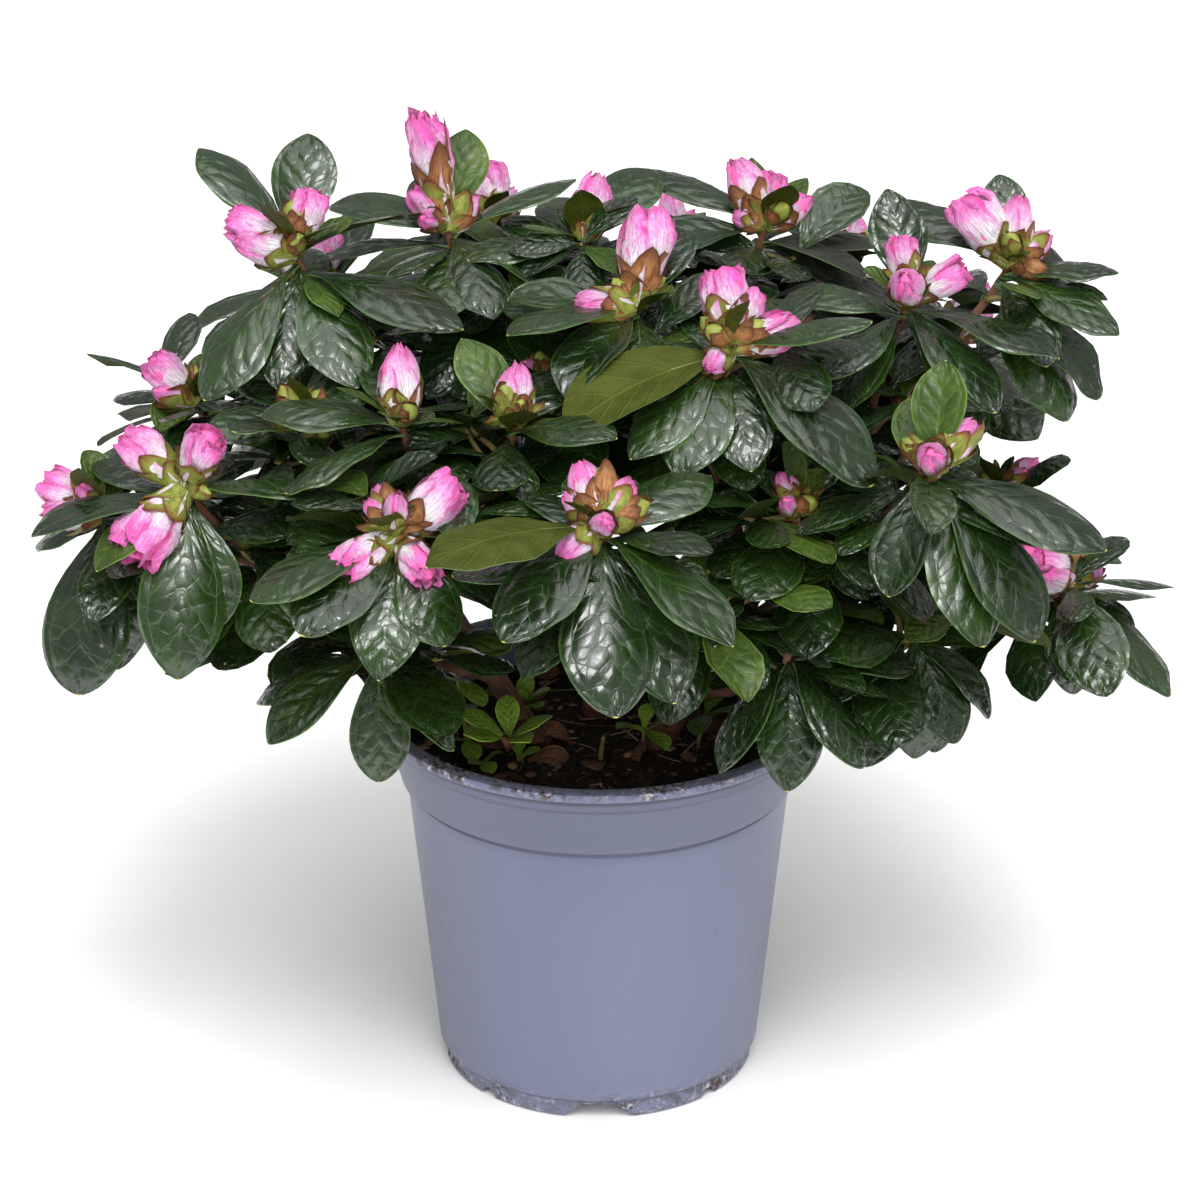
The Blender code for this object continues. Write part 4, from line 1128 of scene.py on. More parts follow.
def leaf_surface(leaf, habit, rows):
    """Where the points of a flat leaf go; w is the depth below its face."""
    row_of = {round(row, 4): index for index, row in enumerate(rows)}

    def put(t, v, w):
        open_ends = 1 - (2 * t - 1) ** 2
        s = min(1.0, t + 0.11 * open_ends * abs(v) ** 1.2)
        side, face = leaf.across(s)
        share = max(0.0, (s - PETIOLE) / (1 - PETIOLE))
        blade = LEAF_WIDTH * leaf.length * max(0.0, math.sin(math.pi * share**habit.swell)) ** habit.blunt
        half = max(blade * habit.broad, 0.9 if s < 0.5 else 0.22)
        on_blade = min(1.0, blade / 6)
        out = abs(v)
        height = half * (habit.fold * out - habit.dome * out * out)
        if rows is FINE_ROWS and 0.2 < out < 0.95 and 2 < row_of[round(t, 4)] < 14:
            height += habit.quilt * (1 if row_of[round(t, 4)] % 2 else -1)
        if out < 0.2:
            height -= 0.55 * on_blade * (1 - 0.6 * t)
        swing = 6.28 * habit.turns * t + habit.phase + (1.7 if v > 0 else 0)
        height += habit.wave * on_blade * out**3 * math.sin(swing)
        height -= habit.curl * max(0.0, t - 0.75) ** 2 * 16
        if w < -0.5:
            thick = (0.42 - 0.16 * out) * (0.6 + 0.4 * leaf.length / 55)
            height -= thick + (0.5 if out < 0.2 else 0.0) * (1 - t) + 0.9 * max(0.0, 1 - s / 0.12)
        drift = habit.lean * leaf.length * t * (1 - t)
        return leaf.midrib(s) + side * (v * half + drift) + face * height
    return put


def dress_leaf(bm, template, rows, leaf, kind, dice):
    """Adds one leaf, its regions painted from the slots of its kind."""
    habit = Habit(dice, leaf.length)
    slots = LEAF_SLOTS[kind]
    for face in add_copy(bm, template, leaf_surface(leaf, habit, rows)):
        face.material_index = slots[face.material_index]


# slots of a leaf piece, by region: blade, underside, midrib, midrib below, margin, point
LEAF_FINISHES = ("blade_dark", "blade_mid", "blade_fresh", "blade_plum", "blade_lime", "blade_dry",
                 "under_olive", "under_dark", "rib_green", "rib_red", "rib_pale", "margin_green", "leaf_point")


def slot_of(*names):
    return tuple(LEAF_FINISHES.index(name) for name in names)


LEAF_SLOTS = {
    "dark": slot_of("blade_dark", "under_dark", "blade_dark", "rib_pale", "margin_green", "leaf_point"),
    "mid": slot_of("blade_mid", "under_olive", "rib_green", "rib_pale", "margin_green", "leaf_point"),
    "ribbed": slot_of("blade_mid", "under_olive", "rib_red", "rib_pale", "margin_green", "leaf_point"),
    "fresh": slot_of("blade_fresh", "under_olive", "rib_green", "rib_pale", "margin_green", "leaf_point"),
    "plum": slot_of("blade_plum", "under_dark", "blade_plum", "rib_pale", "margin_green", "leaf_point"),
    "olive": slot_of("under_olive", "under_dark", "rib_pale", "rib_pale", "margin_green", "leaf_point"),
    "lime": slot_of("blade_lime", "blade_lime", "rib_pale", "rib_pale", "blade_lime", "leaf_point"),
    "dry": slot_of("blade_dry", "blade_dry", "blade_dry", "blade_dry", "blade_dry", "blade_dry"),
}


# ---- dressed buds ----------------------------------------------------------------
PETAL_ROWS = (0, 0.16, 0.32, 0.47, 0.60, 0.72, 0.83, 0.92, 1.0)
PETAL_COLUMNS = (-1, -0.75, -0.46, -0.16, 0.16, 0.46, 0.75, 1)
INNER_ROWS = (0, 0.3, 0.6, 0.82, 1.0)
INNER_COLUMNS = (-1, -0.5, 0, 0.5, 1)
SCALE_ROWS = (0, 0.2, 0.42, 0.62, 0.8, 0.93, 1.0)
SCALE_COLUMNS = (-1, -0.45, 0.45, 1)
BUD_FINISHES = ("petal_foot", "petal_blush", "petal_pink", "petal_edge", "scale_green", "scale_tan",
                "scale_brown", "bud_green", "bud_core")
FOOT, BLUSH, PINK, EDGE, SCALE_GREEN, SCALE_TAN, SCALE_BROWN, BUD_GREEN, CORE = range(9)
PETAL_SLOTS = (FOOT, FOOT, FOOT, BLUSH, BLUSH, PINK, PINK, EDGE)
INNER_SLOTS = (FOOT, BLUSH, PINK, EDGE)
SCALE_SLOTS = (SCALE_GREEN, SCALE_GREEN, SCALE_GREEN, SCALE_GREEN, SCALE_GREEN, SCALE_TAN)
BROWN_SLOTS = (SCALE_GREEN, SCALE_TAN, SCALE_TAN, SCALE_TAN, SCALE_BROWN, SCALE_BROWN)
CORE_RINGS = 9
OUTER_PETALS, OUTER_PETAL_TURN = 5, 1.257
INNER_PETALS, INNER_PETAL_TURN = 3, 2.094
SCALE_TURN = 2.4
BRACTS = 7


def ramp(value, low, high):
    share = min(1.0, max(0.0, (value - low) / (high - low)))
    return share * share * (3 - 2 * share)


def band_template(rows, columns, slots):
    """A thin petal or scale drawn to a sharp edge, whose rows take the slots of its bands."""
    bm = slab(rows, columns)
    for face in bm.faces:
        middle = face.calc_center_median().x
        row = max(index for index, start in enumerate(rows[:-1]) if start <= middle + 0.001)
        face.material_index = slots[row]
    draw_to_edge(bm)
    return mesh_from(bm, "band_template")


class Blossom:
    """The outline of one bud: how plump it is, and how far its top has opened."""

    def __init__(self, bud, kind, dice):
        self.turn = bud.way.to_track_quat("Z", "X")
        self.root = bud.root
        self.kind = kind
        self.length = bud.length * dice.uniform(0.98, 1.03)
        self.width = bud.length * (dice.uniform(0.24, 0.30) if bud.length < 35 else 0.15)
        self.is_ruffled = kind == "ruffled"
        self.belly = dice.uniform(0.58, 0.72) if self.is_ruffled else dice.uniform(0.36, 0.5)
        self.top = dice.uniform(0.55, 0.85) if self.is_ruffled else dice.uniform(0.02, 0.10)
        self.seed = dice.uniform(0, 90)

    def girth(self, q):
        body = 0.36 + 0.64 * ramp(q, -0.15, self.belly)
        above = max(0.0, (q - self.belly) / (1.03 - self.belly))
        return self.width * body * (1 - (1 - self.top) * (1 - math.sqrt(max(0.0, 1 - above**2.2))))

    def point(self, bearing, reach, rise):
        return self.root + self.turn @ Vector((math.cos(bearing) * reach, math.sin(bearing) * reach, rise))

    def outward(self, bearing):
        return self.turn @ Vector((math.cos(bearing), math.sin(bearing), 0))


def petal_place(blossom, centre, span, layer, lift, dice):
    """A petal wrapped round the bud, one side over its neighbour and the other side under."""
    phase = dice.uniform(0, 6.3)
    ruffle = dice.uniform(0.12, 0.26) if blossom.is_ruffled else 0.03
    slant = dice.uniform(0.1, 0.6)

    def put(q, p, w):
        bearing = centre - p * span - slant * q
        reach = blossom.girth(q) * layer * (1 - 0.12 * p)
        reach += blossom.width * ruffle * q**3 * math.sin(4.2 * p + phase)
        shoulder = (0.03 if blossom.is_ruffled else 0.20) * abs(p) ** 3 * q * q
        rise = blossom.length * lift * (q * (1 - shoulder) + 0.03 * q * q * math.sin(5.0 * p + 1.7 * phase))
        point = blossom.point(bearing, reach, rise)
        crumple = noise.noise_vector(point * 0.14 + Vector((blossom.seed, layer * 9, phase)))
        fold = noise.noise_vector(point * 0.34 + Vector((blossom.seed, phase, 3)))
        ragged = (2.0 if blossom.is_ruffled else 0.8) * ramp(q, 0.05, 0.9) * min(1.0, blossom.length / 25)
        ragged *= (1.0 if layer > 0.9 else 0.35) * (1 - 0.35 * ramp(q, 0.85, 1.0))
        point += (crumple + 0.5 * fold) * ragged
        if w < -0.5:
            point -= blossom.outward(bearing) * 0.35
        return point
    return put


def scale_place(blossom, centre, foot, tip, width, hug, flare):
    """A scale that hugs the bud from `foot` to `tip` of its height and flares at its end."""
    def put(q, p, w):
        share = foot + (tip - foot) * q
        span = width * math.sin(math.pi * (0.17 + 0.83 * q) ** 1.05) ** 0.75 if q < 0.999 else 0.04
        reach = blossom.girth(share) * hug + flare * ramp(q, 0.5, 1.0) + 0.4 * (1 - p * p) * (1 - q)
        bearing = centre - p * span / max(reach, 1.5)
        point = blossom.point(bearing, reach, blossom.length * share)
        if w < -0.5:
            point -= blossom.outward(bearing) * 0.4
        return point + noise.noise_vector(point * 0.3) * 0.45
    return put


def core_place(blossom):
    """A plump body under the petals and scales."""
    def put(x, y, z):
        reach = 0.93 * blossom.girth(z) * min(1.0, 5.5 * (1 - z) + 0.01) ** 0.5
        return blossom.point(math.atan2(y, x), reach, 0.97 * blossom.length * z)
    return put


def kind_of_bud(length, dice):
    """What a bud shows: ruffled petals, a smooth egg, only a pink tip, or nothing but scales."""
    if length >= 23:
        return dice.choices(("ruffled", "egg"), (0.6, 0.4))[0]
    if length >= 18:
        return dice.choices(("egg", "ruffled", "pink_tip"), (0.45, 0.3, 0.25))[0]
    if length >= 15:
        return dice.choices(("pink_tip", "egg", "scaly"), (0.5, 0.25, 0.25))[0]
    return dice.choices(("scaly", "pink_tip"), (0.7, 0.3))[0]


SHUT_FEET = (0.0, 0.0, 0.08, 0.12, 0.2, 0.26, 0.3, 0.1)
SHUT_TIPS = (0.5, 0.58, 0.7, 0.8, 0.88, 0.97, 1.0, 0.75)
OPEN_FEET = (0, 0, 0, 0.02, 0.03, 0.06, 0.04, 0.0)
OPEN_TIPS = (0.30, 0.42, 0.36, 0.5, 0.56, 0.46, 0.6, 0.38)


def dress_bud(bm, shapes, bud, kind, dice):
    """Scales round the foot, then crumpled petals if the bud is far enough on."""
    blossom = Blossom(bud, kind, dice)
    turn = dice.uniform(0, 6.3)
    for face in add_copy(bm, upright_bar(10, CORE_RINGS), core_place(blossom)):
        face.material_index = BUD_GREEN if kind == "scaly" else CORE
    feet, tips, hug, flare = SHUT_FEET, SHUT_TIPS, 1.07, 0.2
    brownness = dice.choice((0.1, 0.25, 0.5, 0.8))
    if kind != "scaly":
        for index in range(OUTER_PETALS):
            bearing = turn + OUTER_PETAL_TURN * index
            place = petal_place(blossom, bearing, 0.95, 1.0, dice.uniform(0.9, 1.0), dice)
            add_copy(bm, shapes["petal"], place)
        for index in range(INNER_PETALS):
            bearing = turn + 0.6 + INNER_PETAL_TURN * index
            place = petal_place(blossom, bearing, 1.2, 0.72, dice.uniform(0.92, 1.02), dice)
            add_copy(bm, shapes["inner"], place)
        cover = dice.uniform(1.45, 1.65) if kind == "pink_tip" else dice.uniform(0.85, 1.2)
        cover = 1.45 if bud.length > 35 else cover
        feet, tips, hug, flare = OPEN_FEET, [cover * tip for tip in OPEN_TIPS], 1.14, dice.uniform(0.2, 1.5)
    for index, (foot, tip) in enumerate(zip(feet, tips)):
        place = scale_place(blossom, turn + SCALE_TURN * index, foot, tip * dice.uniform(0.9, 1.1),
                            blossom.width * dice.uniform(0.75, 1.05), hug - 0.012 * index, flare)
        add_copy(bm, shapes["brown_scale" if dice.random() < brownness else "scale"], place)


def dress_bracts(bm, shapes, tip, dice):
    """A ring of short papery bracts and tight green buds round the end of a twig."""
    turn = dice.uniform(0, 6.3)
    for index in range(BRACTS):
        rise = dice.uniform(0.25, 1.15)
        bearing = turn + SCALE_TURN * index
        way = toward(bearing, rise)
        stub = Bud(tip - way, math.degrees(bearing), math.degrees(rise), dice.uniform(8, 15))
        blossom = Blossom(stub, "scaly", dice)
        place = scale_place(blossom, dice.uniform(0, 6.3), 0.0, 1.0, blossom.width * 1.1, 0.35, 0.3)
        add_copy(bm, shapes["brown_scale" if dice.random() < 0.35 else "scale"], place)
    for index in range(dice.choice((1, 2, 3))):
        shut = Bud(tip, math.degrees(turn) + 137 * index, dice.uniform(25, 80), dice.uniform(9, 15))
        dress_bud(bm, shapes, shut, dice.choice(("scaly", "scaly", "pink_tip")), dice)


# ---- crown -----------------------------------------------------------------------
FEW_NUDGES = ((0, 0, 1), (12, 4, 1), (-12, -4, 0.9), (0, -14, 0.9), (24, 8, 0.8), (-24, 10, 0.75))
SPRIG_ROOT = 4.0
YOUNG_LEAVES = 5
MOST_OLDER_LEAVES = 12
SPRIGS = 4
SPRIG_LEAVES = 5
FILLING_LEAVES = 4
# a place with less reach than this always gives its leaf its colour, a wider one as a rule
SURE_REACH = 10
PLACE_SHARE = 0.85
STEM_NODES = ["stem_" + name for name in STEMS]
BOUGH_NODES = ["bough_" + name for name in MASSES]
# the masses that carry more leaves than their solids do
LEAFY = [name for name in MASSES if name != "basal"]


class Grown:
    """What one mass carries once it has settled: twigs, leaves with their kinds, and buds."""

    def __init__(self, name, room):
        self.name = name
        self.room = room
        self.twigs, self.leaves, self.buds = [], [], []

    def add_leaf(self, dice, root, bearing, rise, length, roll, young=0.0, is_fine=False):
        """Adds a leaf where there is room for it; `young` is the chance that it is a young one."""
        leaf = settle_leaf(self.room, self.name, root, bearing, rise, length, roll, FEW_NUDGES)
        if leaf:
            is_young = dice.random() < young if 0 < young < 1 else young == 1
            self.leaves.append((leaf, kind_of(leaf, dice, is_young), is_fine))
        return leaf


def kind_of(leaf, dice, young=False):
    """The colour a leaf has by chance, or by its place where that has a colour of its own."""
    chance = dice.random()
    usual = dice.choices(("dark", "mid", "ribbed", "fresh"), (0.55, 0.36, 0.05, 0.04))[0]
    tip = leaf.midrib(1.0)
    for centre, reach, kind in AGE_PLACES:
        is_sure = reach < SURE_REACH or chance < PLACE_SHARE and not young
        if (tip - Vector(centre)).length < reach and is_sure:
            return kind
    if young:
        return "fresh" if chance < 0.75 else "mid"
    return usual


def grow_solid_leaves(room, crown, dice):
    """Settles twigs, buds and leaves exactly as those of the solids were settled."""
    for name, grown in crown.items():
        grown.twigs = twigs_of(name, bough_limb(name), dice[name])
        for twig in grown.twigs:
            body = bent_bar(TWIG_SIDES, twig.stations(), limb_place(twig))
            room.add(name, body, BVHTree.FromBMesh(body))
            body.free()
    for name, grown in crown.items():
        for twig, shoot in zip(grown.twigs, MASSES[name][3]):
            for bearing, rise, length in shoot.buds:
                bud = Bud(twig.core(1 - BUD_SINK / twig.span), bearing, rise, length)
                body, padded = bud.body(), bud.body(GAP)
                if room.is_free(name, padded, None):
                    room.add(name, body, None)
                    grown.buds.append(bud)
                padded.free()
                body.free()
    look = random.Random(5)
    for name, grown in crown.items():
        for twig, shoot in zip(grown.twigs, MASSES[name][3]):
            for index, (below, bearing, rise, length, roll) in enumerate(leaf_plan(shoot, dice[name])):
                leaf = settle_leaf(room, name, root_on(twig, below), bearing, rise, length, roll)
                if leaf:
                    is_young = leaf.length < 30 or (rise > 30 and leaf.length < 40)
                    kind = "lime" if name == "basal" else kind_of(leaf, look, is_young)
                    grown.leaves.append((leaf, kind, index < len(shoot.leaves)))


def guard_buds(room):
    """From now on new leaves also keep off the buds of their own mass."""
    room.taken = [(owner, centre, reach, whole, blade or (whole if owner else None))
                  for owner, centre, reach, whole, blade in room.taken]


def edge_leaves(crown):
    """The longer leaves that droop at the east edge."""
    dice = random.Random(41)
    for name, index, below, bearing, rise, length, roll in EDGE_LEAVES:
        root = root_on(crown[name].twigs[index], below)
        crown[name].add_leaf(dice, root, bearing, rise, length, roll, is_fine=True)


def young_leaves(grown, twig, dice):
    """Small leaves held up round the buds."""
    turn = dice.uniform(0, 360)
    for index in range(YOUNG_LEAVES):
        rise = dice.uniform(22, 70)
        grown.add_leaf(dice, root_on(twig, dice.uniform(1.2, 4.0)), turn + GOLDEN_ANGLE * index, rise,
                       dice.uniform(13, 27), dice.uniform(-20, 20), young=1)


def older_leaves(grown, twig, dice):
    """Leaves further down a twig, which hang lower."""
    turn = dice.uniform(0, 360)
    below, index = 9.0, 0
    while below < twig.span * 0.82 and index < MOST_OLDER_LEAVES:
        grown.add_leaf(dice, root_on(twig, below), turn + GOLDEN_ANGLE * index,
                       dice.uniform(-34, 12), dice.uniform(30, 47), dice.uniform(-22, 22))
        below += dice.uniform(4.5, 8.0)
        index += 1


def side_sprigs(grown, twig, dice):
    """Short side twigs, each with a small whorl."""
    turn = dice.uniform(0, 360)
    for index in range(SPRIGS):
        share = dice.uniform(0.2, 0.85)
        start = twig.core(share)
        bearing = math.radians(turn + 120 * index)
        way = Vector((math.cos(bearing), math.sin(bearing), dice.uniform(0.1, 0.9))).normalized()
        end = start + way * dice.uniform(15, 27)
        limb = Limb(start, way + 0.5 * twig.along(share), end, way + Vector((0, 0, 0.6)), 1.0, 0.75)
        body = bent_bar(TWIG_SIDES, limb.stations(), limb_place(limb))
        outer = tree_beyond(body, start, SPRIG_ROOT)
        is_free = grown.room.is_free(grown.name, body, outer)
        if is_free:
            grown.room.add(grown.name, body, outer)
        body.free()
        if not is_free:
            continue
        first = dice.uniform(0, 360)
        whorl = [grown.add_leaf(dice, limb.core(1 - 0.06 * place), first + GOLDEN_ANGLE * place,
                                dice.uniform(-12, 34), dice.uniform(24, 37), dice.uniform(-20, 20), young=0.3)
                 for place in range(SPRIG_LEAVES)]
        if any(whorl):
            grown.twigs.append(limb)


def fill_crown(crown, dice):
    """Leaves wherever a twig or sprig still has room, most of them inside the crown."""
    carriers = [(name, twig) for name in LEAFY for twig in crown[name].twigs]
    carriers += [(name, bough_limb(name)) for name in LEAFY]
    for name, twig in carriers:
        for _ in range(FILLING_LEAVES):
            crown[name].add_leaf(dice, twig.core(dice.uniform(0.15, 0.98)), dice.uniform(0, 360),
                                 dice.uniform(-40, 40), dice.uniform(26, 46), dice.uniform(-30, 30))


def grow_crown():
    """Every mass with what it carries, each part set where it touches nothing set before it."""
    room = Room()
    for node in ["pot", "soil"] + STEM_NODES + BOUGH_NODES:
        solid = shown_mesh(node)
        room.add(None, solid, None)
        solid.free()
    crown = {name: Grown(name, room) for name in MASSES}
    dice = {name: random.Random(index + 1) for index, name in enumerate(MASSES)}
    grow_solid_leaves(room, crown, dice)
    guard_buds(room)
    edge_leaves(crown)
    for name in LEAFY:
        own_twigs = list(crown[name].twigs)
        for twig in own_twigs:
            young_leaves(crown[name], twig, dice[name])
        for twig in own_twigs:
            side_sprigs(crown[name], twig, dice[name])
            older_leaves(crown[name], twig, dice[name])
    for name in LEAFY:
        bough = bough_limb(name)
        for _ in range(2):
            side_sprigs(crown[name], bough, dice[name])
        older_leaves(crown[name], bough, dice[name])
    fill_crown(crown, random.Random(17))
    return crown


def make_wood(crown, finishes):
    """Bark over the stems and boughs, and every twig, grown into what carries it."""
    stems, boughs, twigs = bmesh.new(), bmesh.new(), bmesh.new()
    for index, name in enumerate(STEMS):
        add_limb(stems, stem_limb(name), 14, 1.6, 3.0 + index, 0.10, 0)
    for index, name in enumerate(MASSES):
        add_limb(boughs, bough_limb(name), 10, 1.8, 11.0 + index, 0.09, 0, 0.35)
        for order, twig in enumerate(crown[name].twigs):
            is_thin = order >= len(MASSES[name][3])
            sides, spacing, slot = (6, 3.0, 2) if is_thin else (8, 2.4, 1)
            add_limb(twigs, twig, sides, spacing, 31.0 + index + order, 0.07, slot, 0.4)
    piece("stem_bark", stems, finishes, STEM_NODES)
    piece("bough_bark", boughs, finishes, BOUGH_NODES)
    piece("twig_bark", twigs, finishes)


def make_foliage(crown, finishes):
    """The leaves of each side of the crown, in place of the solid masses there."""
    fine = leaf_template(FINE_ROWS, FINE_COLUMNS, False), FINE_ROWS
    plain = leaf_template(PLAIN_ROWS, PLAIN_COLUMNS, True), PLAIN_ROWS
    for side, names in CROWN_SIDES.items():
        bm = bmesh.new()
        dice = random.Random(side)
        for leaf, kind, is_fine in (item for name in names for item in crown[name].leaves):
            dress_leaf(bm, *(fine if is_fine else plain), leaf, kind, dice)
        piece("foliage_" + side, bm, finishes, ["leaves_" + name for name in names], sharp=60)


def make_blossom(crown, finishes):
    """The buds of each side of the crown, and the bracts round the twig ends that carry them."""
    shapes = {
        "petal": band_template(PETAL_ROWS, PETAL_COLUMNS, PETAL_SLOTS),
        "inner": band_template(INNER_ROWS, INNER_COLUMNS, INNER_SLOTS),
        "scale": band_template(SCALE_ROWS, SCALE_COLUMNS, SCALE_SLOTS),
        "brown_scale": band_template(SCALE_ROWS, SCALE_COLUMNS, BROWN_SLOTS),
    }
    for side, names in CROWN_SIDES.items():
        bm = bmesh.new()
        dice = random.Random("buds " + side)
        for name in names:
            looks = list(BUD_LOOKS.get(name, ()))
            for bud in crown[name].buds:
                kind = looks.pop(0) if looks else kind_of_bud(bud.length, dice)
                dress_bud(bm, shapes, bud, kind, dice)
            for twig, shoot in zip(crown[name].twigs, MASSES[name][3]):
                if shoot.buds:
                    dress_bracts(bm, shapes, twig.end, dice)
        piece("blossom_" + side, bm, finishes, sharp=75)


# looks of the first buds of a mass, in the order of its shoots
BUD_LOOKS = {
    "front": ("pink_tip", "scaly", "pink_tip", "pink_tip", "scaly", "pink_tip", "egg"),
    "west_top": ("ruffled", "ruffled", "egg", "scaly"),
    "west_tip": ("ruffled", "ruffled", "ruffled", "scaly"),
    "front_west": ("ruffled", "ruffled", "ruffled", "pink_tip", "egg", "egg"),
    "top_front": ("ruffled", "pink_tip", "scaly", "ruffled", "ruffled", "ruffled", "pink_tip", "scaly"),
    "east_front": ("pink_tip", "pink_tip", "scaly"),
}
CROWN_SIDES = {
    "west": ("west_top", "west_tip", "front_west", "west_low", "basal"),
    "front": ("front", "top_front", "inner_top", "inner_east"),
    "east": ("east_top", "east_front", "east_tip", "east_low"),
    "top": ("top_west", "top_east", "inner_back"),
    "back": ("back_west_top", "back_top", "back_east_top", "back_west_low", "back_low", "back_east_low"),
}
# where the leaves have turned: centre, how far it reaches, and the colour they have
AGE_PLACES = (
    ((128, 20, 268), 34, "plum"), ((-140, -40, 205), 14, "plum"), ((75, 45, 262), 26, "plum"), ((-67, -69, 209),
    14, "plum"), ((-51, -144, 240), 7, "olive"), ((-11, -62, 249), 6, "olive"), ((-20, -39, 239), 6, "olive"),
    ((46, -111, 180), 8, "fresh"), ((47, -109, 169), 7, "fresh"), ((-48, -15, 255), 9, "olive"), ((92, 19, 301),
    5, "dark"), ((108, -57, 271), 5, "fresh"), ((-83, -72, 233), 5, "mid"), ((-138, 72, 239), 5, "dark"),
    ((-147, -57, 208), 4, "dark"),
)
# longer drooping leaves at the east edge: mass, twig, distance below its tip, bearing, rise, length, roll
EDGE_LEAVES = (
    ("east_top", 1, 6, -8, -42, 52, 62), ("east_top", 1, 10, 8, -50, 44, 70),
    ("east_top", 1, 8, -26, -36, 44, 40), ("east_top", 0, 9, -12, -40, 44, 30),
    ("east_tip", 0, 8, -18, -48, 42, 62), ("east_tip", 0, 10, 8, -38, 44, 66),
    ("east_tip", 0, 12, -40, -60, 34, 50), ("east_tip", 1, 9, -14, -40, 50, 60),
    ("back_east_top", 1, 8, 0, -35, 50, 60), ("east_low", 0, 12, -30, -66, 38, 78),
    ("east_low", 0, 14, 10, -60, 38, 74), ("east_tip", 0, 16, 30, -52, 38, 70),
)


# ---- peat level ------------------------------------------------------------------
# young shoots out of the peat: foot, tip, kind of leaf, leaves
PEAT_SHOOTS = (
    ((-43, -14, 116), (-46, -20, 147), "lime", ((150, 15, 16), (-60, -15, 18), (-120, 20, 15), (40, 35, 13))),
    ((-24, -4, 116), (-26, -8, 129), "lime", ((-160, 35, 15), (-110, 5, 14), (-60, 25, 16), (-15, 40, 14),
     (60, 55, 13), (110, 20, 12), (-90, 60, 12))),
    ((-30, -12, 116), (-31, -15, 123), "lime", ((-150, 15, 12), (-85, 20, 13), (-30, 10, 12))),
    ((-47, -2, 116), (-48, -5, 128), "fresh", ((175, 5, 15), (-130, 0, 15), (-60, 20, 15), (100, 30, 12))),
    ((-43, -12, 116), (-43, -14, 121), "lime", ((-80, -10, 13), (-140, 10, 10), (-20, 20, 11), (60, 40, 9))),
    ((-38, -25, 116), (-38, -27, 119), "lime", ((-70, 5, 11), (-125, 20, 8), (0, 30, 8))),
    ((-26, -20, 116), (-26, -22, 118), "lime", ((-100, 60, 15), (20, 20, 8))),
    ((15, -12, 116), (15, -15, 125), "lime", ((-60, -5, 15), (-15, 25, 11), (-140, 20, 13), (80, 40, 10))),
    ((1, -18, 115), (2, -24, 127), "fresh", ((-60, 40, 4),)),
    ((33, -9, 116), (35, -14, 130), "fresh", ((-20, 10, 19), (-100, 0, 17), (60, 30, 15))),
)
FALLEN_LEAVES = 26


def make_peat_growth(finishes, twig_finishes):
    """Young shoots that break from the peat, and dead leaves curled on it."""
    plain = leaf_template(PLAIN_ROWS, PLAIN_COLUMNS, True)
    dice = random.Random(23)
    bm = bmesh.new()
    stalks = bmesh.new()
    for foot, tip, kind, leaves in PEAT_SHOOTS:
        limb = Limb(foot, (0, 0, 1), tip, Vector(tip) - Vector(foot), 0.9, 0.6)
        add_limb(stalks, limb, 6, 2.5, dice.uniform(0, 50), 0.05, 2, 0.2)
        for bearing, rise, length in leaves:
            leaf = Leaf(limb.end, bearing, rise, length, dice.uniform(-15, 15))
            dress_leaf(bm, plain, PLAIN_ROWS, leaf, kind, dice)
    piece("peat_shoots", bm, finishes, sharp=60)
    piece("peat_stalks", stalks, twig_finishes)
    bm = bmesh.new()
    for _ in range(FALLEN_LEAVES):
        bearing, out = dice.uniform(0, 2 * math.pi), SOIL_RADIUS * math.sqrt(dice.uniform(0.02, 0.62))
        x, y = out * math.cos(bearing), out * math.sin(bearing)
        root = Vector((x, y, peat_level(x, y) + 1.2))
        leaf = Leaf(root, dice.uniform(0, 360), dice.uniform(-6, 22), dice.uniform(8, 16),
                    dice.uniform(-70, 70), bow=60)
        dress_leaf(bm, plain, PLAIN_ROWS, leaf, "dry", dice)
    piece("fallen_leaves", bm, finishes, sharp=60)


# ---- stage -----------------------------------------------------------------------
CAMERA_RISE = 23.75
CAMERA_DISTANCE = 1.7
TARGET = Vector((0, 0, 0.165))
LENS = 155.55
LENS_SHIFT = 0.00125
FLOOR_DROP = 0.0002
SKY_STRENGTH = 0.30
# name, where it comes from, spread in degrees, strength, whether it is mirrored in what shines
SUNS = (
    ("front_light", (0.03, -1.00, 0.58), 70, 3.1, False),
    ("top_light", (0.04, -0.15, 1.0), 75, 1.5, True),
    ("gloss_light", (0.10, -0.52, 0.95), 24, 1.40, True),
)


def sun_light(name, way, spread, strength, is_mirrored):
    """A sun that shines from `way`; one that is not mirrored leaves no gloss of its own."""
    lamp = bpy.data.lights.new(name, "SUN")
    lamp.angle, lamp.energy = math.radians(spread), strength
    made = bpy.data.objects.new(name, lamp)
    made.rotation_euler = Vector(way).to_track_quat("Z", "Y").to_euler()
    made.visible_glossy = is_mirrored
    bpy.context.scene.collection.objects.link(made)


